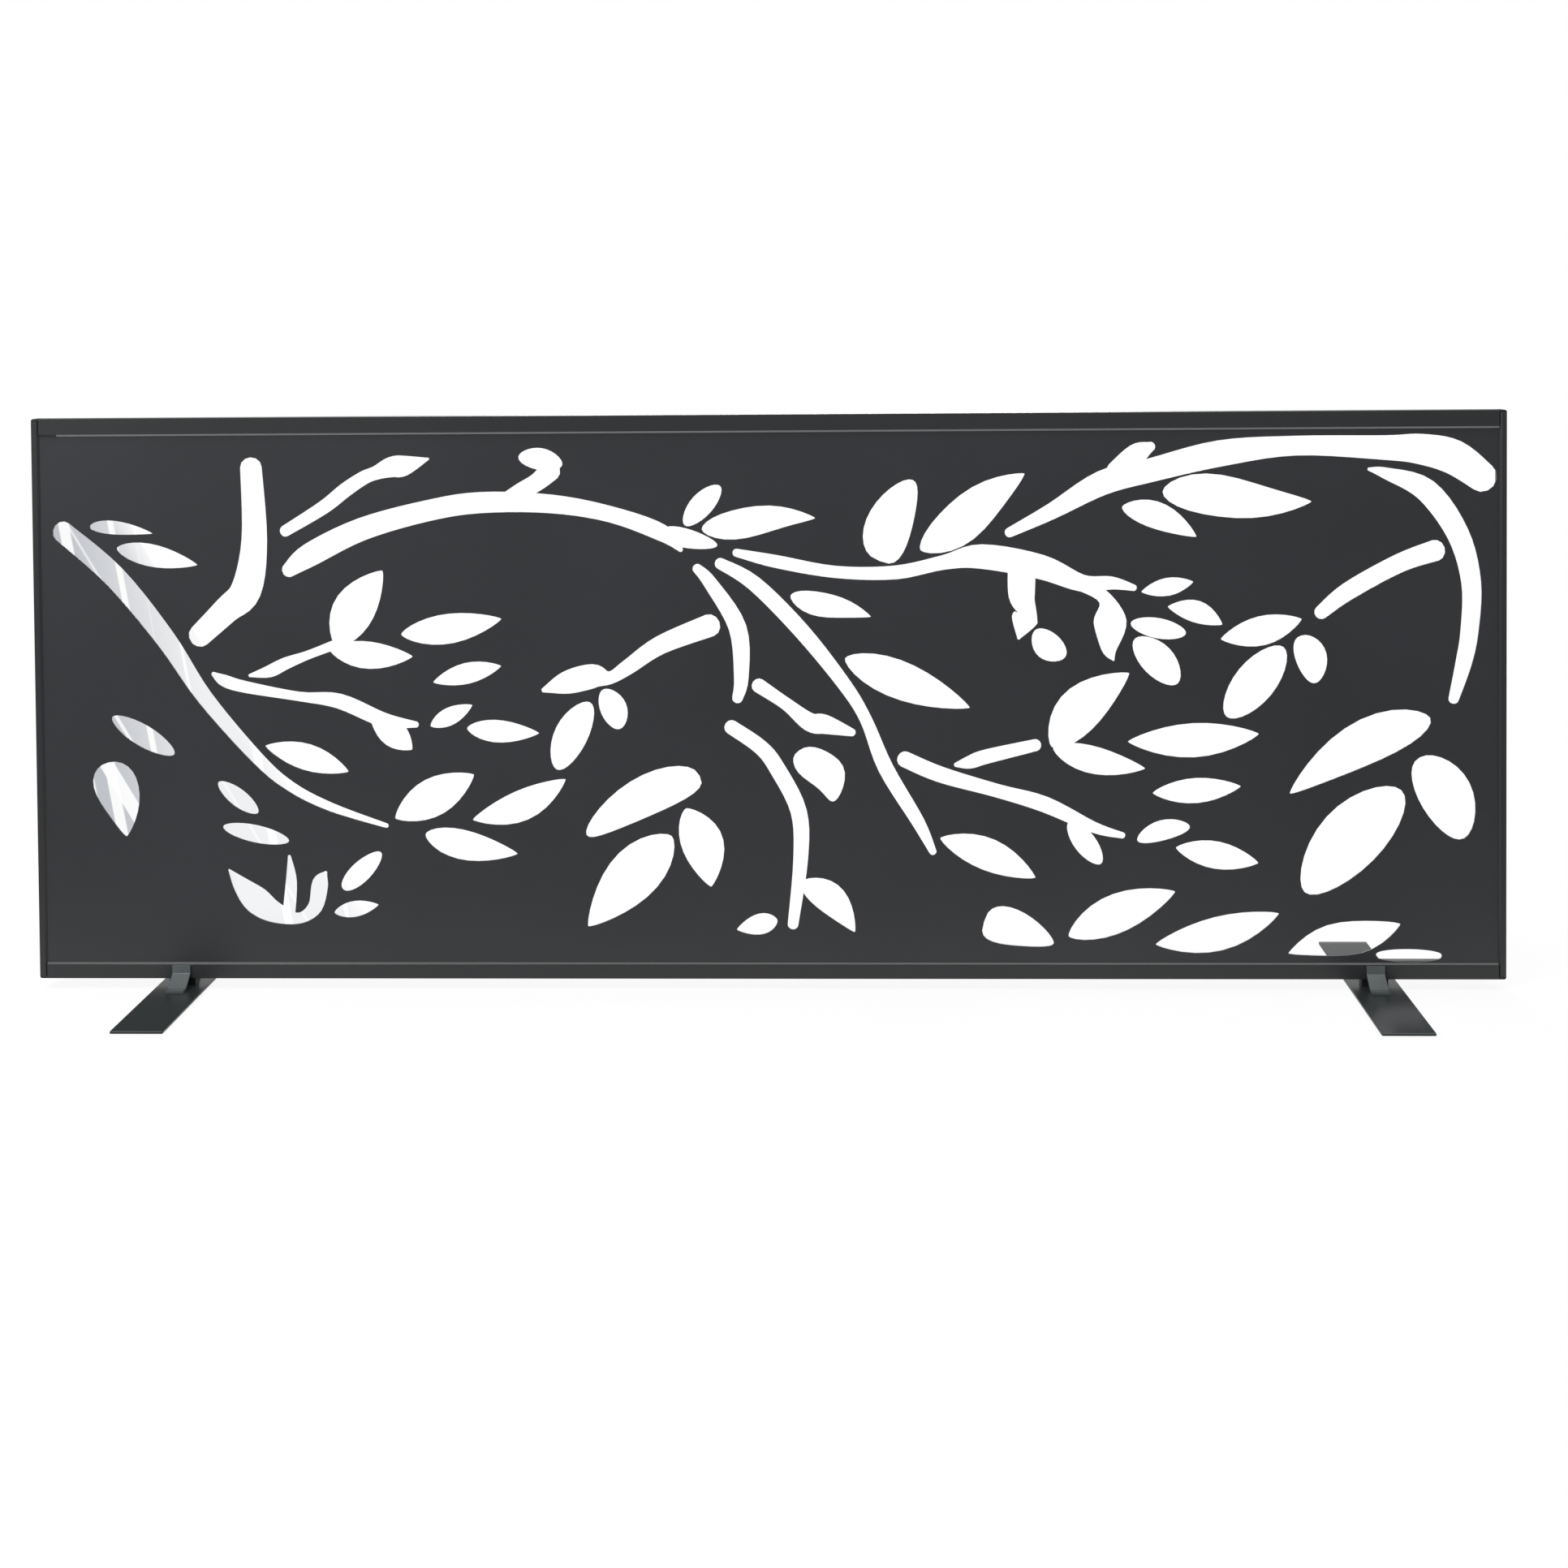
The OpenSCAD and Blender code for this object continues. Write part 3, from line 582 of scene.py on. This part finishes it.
def screw_tree():
    """Countersunk screws with a hexagon socket and a raised thread, one on each point."""
    tree, given = new_tree("Countersunk screws", [
        ("Shank", "NodeSocketFloat"),
        ("Head", "NodeSocketFloat"),
        ("Socket", "NodeSocketFloat"),
        ("Length", "NodeSocketFloat"),
        ("Pitch", "NodeSocketFloat"),
        ("Material", "NodeSocketMaterial"),
    ])
    shank_r, head_r, socket_r = [
        add_node(tree, "ShaderNodeMath", {0: given[label], 1: 0.5}, operation="MULTIPLY")
        for label in ("Shank", "Head", "Socket")
    ]
    head_h = add_node(tree, "ShaderNodeMath", {0: head_r, 1: shank_r}, operation="SUBTRACT")
    core_r = add_node(tree, "ShaderNodeMath", {0: shank_r, 1: CORE_SHARE}, operation="MULTIPLY")
    head = add_node(tree, "GeometryNodeMeshCone", {
        "Vertices": HEAD_SIDES, "Radius Bottom": head_r, "Radius Top": shank_r, "Depth": head_h,
    })
    core = add_node(tree, "GeometryNodeMeshCone", {
        "Vertices": SHANK_SIDES, "Radius Bottom": core_r, "Radius Top": core_r,
        "Depth": given["Length"],
    })
    joined = add_node(tree, "GeometryNodeMeshBoolean", {
        "Mesh 2": [head, core],
    }, operation="UNION", solver="EXACT")
    socket = add_node(tree, "GeometryNodeMeshCone", {
        "Vertices": SOCKET_SIDES, "Radius Bottom": socket_r, "Radius Top": socket_r,
        "Depth": shank_r,
    })
    sunk = add_node(tree, "GeometryNodeTransform", {
        "Geometry": socket, "Translation": (0.0, 0.0, -SOCKET_OPENING),
    })
    body = add_node(tree, "GeometryNodeMeshBoolean", {
        "Mesh 1": joined, "Mesh 2": sunk,
    }, operation="DIFFERENCE", solver="EXACT")
    # The thread starts one pitch below the head and stops one pitch before the end
    shank_l = add_node(tree, "ShaderNodeMath", {
        0: given["Length"], 1: head_h,
    }, operation="SUBTRACT")
    plain_l = add_node(tree, "ShaderNodeMath", {
        0: given["Pitch"], 1: PLAIN_PITCHES,
    }, operation="MULTIPLY")
    thread_l = add_node(tree, "ShaderNodeMath", {0: shank_l, 1: plain_l}, operation="SUBTRACT")
    turns = add_node(tree, "ShaderNodeMath", {
        0: thread_l, 1: given["Pitch"],
    }, operation="DIVIDE")
    helix = add_node(tree, "GeometryNodeCurveSpiral", {
        "Resolution": TURN_STEPS, "Rotations": turns, "Start Radius": core_r,
        "End Radius": core_r, "Height": thread_l,
    })
    ridge_r = add_node(tree, "ShaderNodeMath", {
        0: given["Pitch"], 1: RIDGE_SHARE,
    }, operation="MULTIPLY")
    ridge = add_node(tree, "GeometryNodeCurvePrimitiveCircle", {
        "Resolution": RIDGE_SIDES, "Radius": ridge_r,
    }, mode="RADIUS")
    thread = add_node(tree, "GeometryNodeCurveToMesh", {
        "Curve": helix, "Profile Curve": ridge, "Fill Caps": True,
    })
    thread_z = add_node(tree, "ShaderNodeMath", {0: head_h, 1: given["Pitch"]}, operation="ADD")
    lift = add_node(tree, "ShaderNodeCombineXYZ", {"Z": thread_z})
    raised = add_node(tree, "GeometryNodeTransform", {"Geometry": thread, "Translation": lift})
    whole = add_node(tree, "GeometryNodeJoinGeometry", {"Geometry": [body, raised]})
    finish_tree(tree, given["Geometry"], whole, given["Material"])
    return tree


def pad_tree(rings):
    """Round rubber pads with raised rings on the side that meets the floor, one on each point."""
    tree, given = new_tree("Ringed rubber pads", [
        ("Diameter", "NodeSocketFloat"),
        ("Thickness", "NodeSocketFloat"),
        ("Material", "NodeSocketMaterial"),
    ])
    radius = add_node(tree, "ShaderNodeMath", {
        0: given["Diameter"], 1: 0.5,
    }, operation="MULTIPLY")
    ring_r = add_node(tree, "ShaderNodeMath", {
        0: given["Thickness"], 1: RING_SHARE,
    }, operation="MULTIPLY")
    disc_h = add_node(tree, "ShaderNodeMath", {
        0: given["Thickness"], 1: ring_r,
    }, operation="SUBTRACT")
    disc = add_node(tree, "GeometryNodeMeshCone", {
        "Vertices": PAD_SIDES, "Radius Bottom": radius, "Radius Top": radius, "Depth": disc_h,
    })
    lift = add_node(tree, "ShaderNodeCombineXYZ", {"Z": ring_r})
    parts = [add_node(tree, "GeometryNodeTransform", {"Geometry": disc, "Translation": lift})]
    section = add_node(tree, "GeometryNodeCurvePrimitiveCircle", {
        "Resolution": BEAD_SIDES, "Radius": ring_r,
    }, mode="RADIUS")
    for ring in range(rings):
        share = (ring + 1) / (rings + RING_MARGIN)
        path_r = add_node(tree, "ShaderNodeMath", {0: radius, 1: share}, operation="MULTIPLY")
        path = add_node(tree, "GeometryNodeCurvePrimitiveCircle", {
            "Resolution": RING_STEPS, "Radius": path_r,
        }, mode="RADIUS")
        bead = add_node(tree, "GeometryNodeCurveToMesh", {
            "Curve": path, "Profile Curve": section,
        })
        parts.append(add_node(tree, "GeometryNodeTransform", {
            "Geometry": bead, "Translation": lift,
        }))
    whole = add_node(tree, "GeometryNodeJoinGeometry", {"Geometry": parts})
    finish_tree(tree, given["Geometry"], whole, given["Material"])
    return tree


def made_by_tree(name, places, directions, tree, values):
    """Runs a tree on points and returns the result as a plain mesh object at the origin."""
    mesh = bpy.data.meshes.new(name + "_points")
    mesh.from_pydata([tuple(p) for p in places], [], [])
    attribute = mesh.attributes.new("direction", "FLOAT_VECTOR", "POINT")
    for item, direction in zip(attribute.data, directions):
        item.vector = direction
    points = bpy.data.objects.new(name + "_points", mesh)
    bpy.context.scene.collection.objects.link(points)
    modifier = points.modifiers.new("Copies", "NODES")
    modifier.node_group = tree
    for item in tree.interface.items_tree:
        if item.in_out == "INPUT" and item.name in values:
            modifier[item.identifier] = values[item.name]
    evaluated = points.evaluated_get(bpy.context.evaluated_depsgraph_get())
    result = bpy.data.meshes.new_from_object(evaluated)
    result.name = name
    bpy.data.objects.remove(points)
    piece = bpy.data.objects.new(name, result)
    bpy.context.scene.collection.objects.link(piece)
    return piece


def corners_of(node, inset):
    """The four upright-edge places of a node's box in X and Y, moved inwards by inset."""
    low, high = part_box(node)
    return [
        (x, y)
        for x in (low.x + inset, high.x - inset)
        for y in (low.y + inset, high.y - inset)
    ]


def shared_material(name, make, *values, **details):
    """The material of that name, made where it isn't there yet."""
    return bpy.data.materials.get(name) or make(name, *values, **details)


def zinc_steel():
    """Zinc-plated steel of the slide nuts and the foot screws: pale, with a soft shine."""
    return shared_material(
        "zinc_plated_steel", plated_steel, finish().steel_colour, roughness=0.34,
    )


class SCREEN_OT_sheet(Operator):
    """Coat the cut-out sheet"""

    bl_idname = "screen.sheet"
    bl_label = "Cut-out Sheet"

    def execute(self, context):
        # Dark anthracite, dull enough to mirror nothing sharply
        finish_node("cutout_sheet", shared_material(
            "anthracite_powder_coat_sheet", powder_coat,
            finish().sheet_colour, finish().coat_roughness,
        ))
        return {"FINISHED"}


class SCREEN_OT_pane(Operator):
    """Make the pane clear"""

    bl_idname = "screen.pane"
    bl_label = "Clear Pane"

    def execute(self, context):
        # The pane's colour carries a painted reflection: grey with bright streaks at its left end
        finish_node("clear_pane", shared_material("clear_cast_acrylic", clear_acrylic))
        return {"FINISHED"}


class SCREEN_OT_profiles(Operator):
    """Coat the rails and stiles and round their edges"""

    bl_idname = "screen.profiles"
    bl_label = "Rails and Stiles"

    def execute(self, context):
        # The same anthracite as the sheet's, on extruded profiles
        coat = (powder_coat, finish().frame_colour, finish().coat_roughness)
        plain = shared_material("anthracite_powder_coat_frame", *coat)
        # The top rail's coat carries a painted highlight on its lip chamfer
        lined = shared_material("anthracite_powder_coat_top_rail", *coat, lined_node="top_rail")
        rounded_copy("top_rail", lined)
        for node in ("bottom_rail", "left_stile", "right_stile"):
            rounded_copy(node, plain)
        return {"FINISHED"}


class SCREEN_OT_gaskets(Operator):
    """Finish the rubber gaskets"""

    bl_idname = "screen.gaskets"
    bl_label = "Gaskets"

    def execute(self, context):
        # Extruded rubber: black and matt
        material = shared_material(
            "extruded_glazing_rubber", moulded, finish().black_colour,
            roughness=0.62, grain_width=1.5 * MM, grain_depth=0.1 * MM,
        )
        for place in ("top", "bottom", "left", "right"):
            finish_node("gasket_" + place, material)
        return {"FINISHED"}


class SCREEN_OT_caps(Operator):
    """Finish the plastic caps on the stile ends"""

    bl_idname = "screen.caps"
    bl_label = "Stile Caps"

    def execute(self, context):
        # Moulded nylon: dark and slightly satin
        material = shared_material(
            "moulded_nylon_caps", moulded, finish().plastic_colour,
            roughness=0.5, grain_width=1.2 * MM, grain_depth=0.08 * MM,
        )
        for end in ("top", "bottom"):
            for side in SIDES:
                rounded_copy(f"cap_{end}_{side}", material)
        return {"FINISHED"}


class SCREEN_OT_feet(Operator):
    """Coat the foot plates and brackets"""

    bl_idname = "screen.feet"
    bl_label = "Foot Plates and Brackets"

    def execute(self, context):
        # The plates are less glossy than the brackets: they hardly mirror the panel
        plate = shared_material(
            "grey_powder_coat_plates", powder_coat,
            finish().foot_colour, finish().plate_roughness, sheen=0.3,
        )
        # The brackets are paler and smoother, and catch the light
        bracket = shared_material(
            "grey_powder_coat_brackets", powder_coat,
            finish().bracket_colour, finish().bracket_roughness,
        )
        for side in SIDES:
            finish_node(side + "_foot_plate", plate)
            rounded_copy(side + "_front_bracket", bracket)
            rounded_copy(side + "_rear_bracket", bracket)
        return {"FINISHED"}


class SCREEN_OT_clamps(Operator):
    """Finish the spacer blocks and slide nuts"""

    bl_idname = "screen.clamps"
    bl_label = "Spacer Blocks and Slide Nuts"

    def execute(self, context):
        # Moulded nylon: black and slightly satin
        plastic = shared_material(
            "moulded_nylon_spacers", moulded, finish().black_colour,
            roughness=0.5, grain_width=1.2 * MM, grain_depth=0.08 * MM,
        )
        steel = zinc_steel()
        for side in SIDES:
            rounded_copy(side + "_spacer_block", plastic)
            finish_node(side + "_slide_nut", steel)
        return {"FINISHED"}


class SCREEN_OT_pads(Operator):
    """Model the ringed rubber pads under the foot plates"""

    bl_idname = "screen.pads"
    bl_label = "Foot Pads"

    def execute(self, context):
        # Moulded rubber: black and fully matt
        material = shared_material(
            "moulded_rubber_pads", moulded, finish().black_colour,
            roughness=0.7, grain_width=1.0 * MM, grain_depth=0.1 * MM,
        )
        sizes = context.scene.screen_screws
        tree = pad_tree(sizes.pad_rings)
        for side in SIDES:
            node = side + "_foot_pads"
            low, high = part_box(node)
            corners = corners_of(node, sizes.pad_diameter / 2)
            places = [Vector((x, y, low.z)) for x, y in corners]
            piece = made_by_tree(node + "_ringed", places, [UP] * len(places), tree, {
                "Diameter": sizes.pad_diameter, "Thickness": high.z - low.z,
                "Material": material,
            })
            stand_in(piece, node, material)
        return {"FINISHED"}


class SCREEN_OT_screws(Operator):
    """Model the countersunk screws of the frame and the feet"""

    bl_idname = "screen.screws"
    bl_label = "Screws"

    def execute(self, context):
        sizes = context.scene.screen_screws
        tree = screw_tree()
        # Blackened steel: dark, with a dull shine
        black = shared_material(
            "blackened_steel", plated_steel, finish().black_steel_colour, roughness=0.4,
        )
        zinc = zinc_steel()

        def screws(node, places, directions, shank, length, material):
            """Sets one screw on each place, where the node has its plain ones."""
            piece = made_by_tree(node + "_threaded", places, directions, tree, {
                "Shank": shank, "Head": shank * sizes.head_share,
                "Socket": shank * sizes.socket_share, "Length": length,
                "Pitch": sizes.thread_pitch, "Material": material,
            })
            stand_in(piece, node, material)

        low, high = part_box("frame_screws")
        head_r = sizes.frame_shank * sizes.head_share / 2
        middle = (low.y + high.y) / 2
        places = [
            Vector((x, middle, z))
            for x in (low.x, high.x)
            for z in (low.z + head_r, high.z - head_r)
        ]
        inwards = [Vector((-1 if p.x > 0 else 1, 0, 0)) for p in places]
        screws("frame_screws", places, inwards, sizes.frame_shank, sizes.frame_length, black)
        for side in SIDES:
            node = side + "_clamp_screws"
            low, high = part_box(node)
            middle = (low.y + high.y) / 2
            places = [Vector((x, middle, low.z)) for x in (low.x + head_r, high.x - head_r)]
            screws(node, places, [UP] * len(places), sizes.frame_shank, high.z - low.z, zinc)
            node = side + "_bracket_screws"
            low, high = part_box(node)
            small_r = sizes.bracket_shank * sizes.head_share / 2
            places = [Vector((x, y, low.z)) for x, y in corners_of(node, small_r)]
            screws(node, places, [UP] * len(places), sizes.bracket_shank, high.z - low.z, zinc)
        return {"FINISHED"}


def seen_ray(tree):
    """1 for rays that show the stage: from the camera, in a reflection or through the pane."""
    rays = add_node(tree, "ShaderNodeLightPath").outputs
    total = rays["Is Camera Ray"]
    for kind in ("Is Glossy Ray", "Is Transmission Ray"):
        total = add_node(tree, "ShaderNodeMath", {0: total, 1: rays[kind]}, operation="ADD")
    return add_node(tree, "ShaderNodeMath", {0: total, 1: 1.0}, operation="MINIMUM")


def white_level(tree, vector, change, stage):
    """Level of the white stage: 1, and in a gloss lower, most of all towards the room in front.

    The change is the pair of Y values between which room gives way to backdrop.
    """
    rays = add_node(tree, "ShaderNodeLightPath").outputs
    depth = add_node(tree, "ShaderNodeSeparateXYZ", {"Vector": vector}).outputs["Y"]
    loss = add_node(tree, "ShaderNodeMapRange", {
        "Value": depth, "From Min": change[0], "From Max": change[1],
        "To Min": 1 - stage.room_level, "To Max": 1 - stage.backdrop_level,
    }, interpolation_type="SMOOTHSTEP")
    # A ray that only passes the pane counts as glossy too, so the reflections are counted
    reflected = add_node(tree, "ShaderNodeMath", {
        0: rays["Glossy Depth"], 1: 1.0,
    }, operation="MINIMUM")
    loss = add_node(tree, "ShaderNodeMath", {0: loss, 1: reflected}, operation="MULTIPLY")
    # What is seen through the pane is lighter by what its two faces keep back
    gain = add_node(tree, "ShaderNodeMath", {
        0: rays["Is Transmission Ray"], 1: PANE_LOSS,
    }, operation="MULTIPLY")
    level = add_node(tree, "ShaderNodeMath", {0: 1.0, 1: gain}, operation="ADD")
    return add_node(tree, "ShaderNodeMath", {0: level, 1: loss}, operation="SUBTRACT")


def white_floor(stage):
    """Painted studio floor: white and matt, with a share of the shadows near the object."""
    material, tree, place = new_material("white_studio_floor")
    distance = add_node(tree, "ShaderNodeVectorMath", {0: place}, operation="LENGTH")
    near = add_node(tree, "ShaderNodeMapRange", {
        "Value": distance.outputs["Value"],
        "From Min": stage.shadow_reach * FULL_SHADOW, "From Max": stage.shadow_reach,
        "To Min": stage.shadow_share, "To Max": 0.0,
    }, interpolation_type="SMOOTHSTEP")
    lit = add_node(tree, "ShaderNodeMath", {0: 1.0, 1: near}, operation="SUBTRACT")
    share = add_node(tree, "ShaderNodeMath", {0: lit, 1: seen_ray(tree)}, operation="MULTIPLY")
    paint = add_node(tree, "ShaderNodeBsdfPrincipled", {
        "Base Color": rgba(linear_rgb(FLOOR_COLOUR)), "Roughness": 0.9, "Specular IOR Level": 0.1,
    })
    glow = add_node(tree, "ShaderNodeEmission", {
        "Color": (1, 1, 1, 1), "Strength": white_level(tree, place, FLOOR_CHANGE, stage),
    })
    mixed = add_node(tree, "ShaderNodeMixShader", {0: share, 1: paint, 2: glow})
    add_node(tree, "ShaderNodeOutputMaterial", {"Surface": mixed})
    return material


def soft_lamp(name, place, target, size, power):
    """A large rectangular lamp that faces the target; size is its length and width."""
    data = bpy.data.lights.new(name, "AREA")
    data.shape = "RECTANGLE"
    data.size, data.size_y = size
    data.energy = power
    lamp = bpy.data.objects.new(name, data)
    lamp.location = place
    lamp.rotation_euler = (Vector(target) - Vector(place)).to_track_quat("-Z", "Y").to_euler()
    bpy.context.scene.collection.objects.link(lamp)


def studio_floor(stage):
    """A square of white floor round the origin."""
    mesh = bpy.data.meshes.new("studio_floor")
    corners = [(-1, -1), (1, -1), (1, 1), (-1, 1)]
    mesh.from_pydata([(x * FLOOR_HALF, y * FLOOR_HALF, 0) for x, y in corners], [], [(0, 1, 2, 3)])
    mesh.materials.append(white_floor(stage))
    floor = bpy.data.objects.new("studio_floor", mesh)
    bpy.context.scene.collection.objects.link(floor)


def white_world(stage):
    """Even light from all round, which shows as a white backdrop."""
    world = bpy.data.worlds.new("white_studio")
    world.use_nodes = True
    tree = world.node_tree
    tree.nodes.clear()
    direction = add_node(tree, "ShaderNodeTexCoord").outputs["Generated"]
    level = add_node(tree, "ShaderNodeMapRange", {
        "Value": seen_ray(tree), "To Min": stage.sky_level,
        "To Max": white_level(tree, direction, WORLD_CHANGE, stage),
    })
    sky = add_node(tree, "ShaderNodeBackground", {
        "Color": (1, 1, 1, 1), "Strength": level,
    })
    add_node(tree, "ShaderNodeOutputWorld", {"Surface": sky})
    bpy.context.scene.world = world


def studio_camera(stage):
    """The camera at the photograph's angle."""
    data = bpy.data.cameras.new("camera")
    data.lens = stage.lens
    data.sensor_width = SENSOR_MM
    data.shift_y = stage.shift
    camera = bpy.data.objects.new("camera", data)
    down, left, roll = stage.turn
    turn = (
        Matrix.Rotation(left, 4, "Z")
        @ Matrix.Rotation(math.pi / 2 - down, 4, "X")
        @ Matrix.Rotation(roll, 4, "Z")
    )
    camera.matrix_world = Matrix.Translation(stage.place) @ turn
    bpy.context.scene.collection.objects.link(camera)
    bpy.context.scene.camera = camera


class SCREEN_OT_stage(Operator):
    """Set up the white studio, its soft lamps and the camera"""

    bl_idname = "screen.stage"
    bl_label = "Stage"

    def execute(self, context):
        stage = context.scene.screen_stage
        studio_floor(stage)
        white_world(stage)
        # Each lamp's place, its length and width in metres, and its power
        for name, place, size, power in (
            ("key_lamp", (-2.3, -2.5, 2.1), (1.6, 1.6), stage.key_power),
            ("top_lamp", (0.0, -0.9, 2.8), (4.5, 0.9), stage.top_power),
            ("back_lamp", (0.0, 3.0, 2.2), (1.6, 1.6), stage.back_power),
        ):
            soft_lamp(name, place, LAMP_TARGET, size, power)
        studio_camera(stage)
        context.scene.view_settings.view_transform = "Standard"
        return {"FINISHED"}


OPERATORS = (
    SCREEN_OT_stage, SCREEN_OT_sheet, SCREEN_OT_pane, SCREEN_OT_profiles, SCREEN_OT_gaskets,
    SCREEN_OT_caps, SCREEN_OT_feet, SCREEN_OT_clamps, SCREEN_OT_pads, SCREEN_OT_screws,
)


class SCREEN_PT_panel(Panel):
    """Lists the settings and the steps that dress the screen"""

    bl_idname = "SCREEN_PT_panel"
    bl_label = "Cut-out Screen"
    bl_space_type = "VIEW_3D"
    bl_region_type = "UI"
    bl_category = "Screen"

    def draw(self, context):
        for group in (context.scene.screen_finish, context.scene.screen_screws,
                      context.scene.screen_stage):
            box = self.layout.box()
            for name in group.__annotations__:
                box.prop(group, name)
        for operator in OPERATORS:
            self.layout.operator(operator.bl_idname)


CLASSES = (ScreenFinish, ScreenScrews, ScreenStage, *OPERATORS, SCREEN_PT_panel)


def register():
    """Makes the classes known and gives the scene its settings."""
    for cls in CLASSES:
        bpy.utils.register_class(cls)
    bpy.types.Scene.screen_finish = PointerProperty(type=ScreenFinish)
    bpy.types.Scene.screen_screws = PointerProperty(type=ScreenScrews)
    bpy.types.Scene.screen_stage = PointerProperty(type=ScreenStage)


def unregister():
    """Takes back what register does, in the opposite order."""
    del bpy.types.Scene.screen_stage
    del bpy.types.Scene.screen_screws
    del bpy.types.Scene.screen_finish
    for cls in reversed(CLASSES):
        bpy.utils.unregister_class(cls)


def main():
    """Dresses the screen."""
    register()
    bpy.ops.screen.stage()
    bpy.ops.screen.sheet()
    bpy.ops.screen.pane()
    bpy.ops.screen.profiles()
    bpy.ops.screen.gaskets()
    bpy.ops.screen.caps()
    bpy.ops.screen.feet()
    bpy.ops.screen.clamps()
    bpy.ops.screen.pads()
    bpy.ops.screen.screws()


if __name__ == "__main__":
    main()
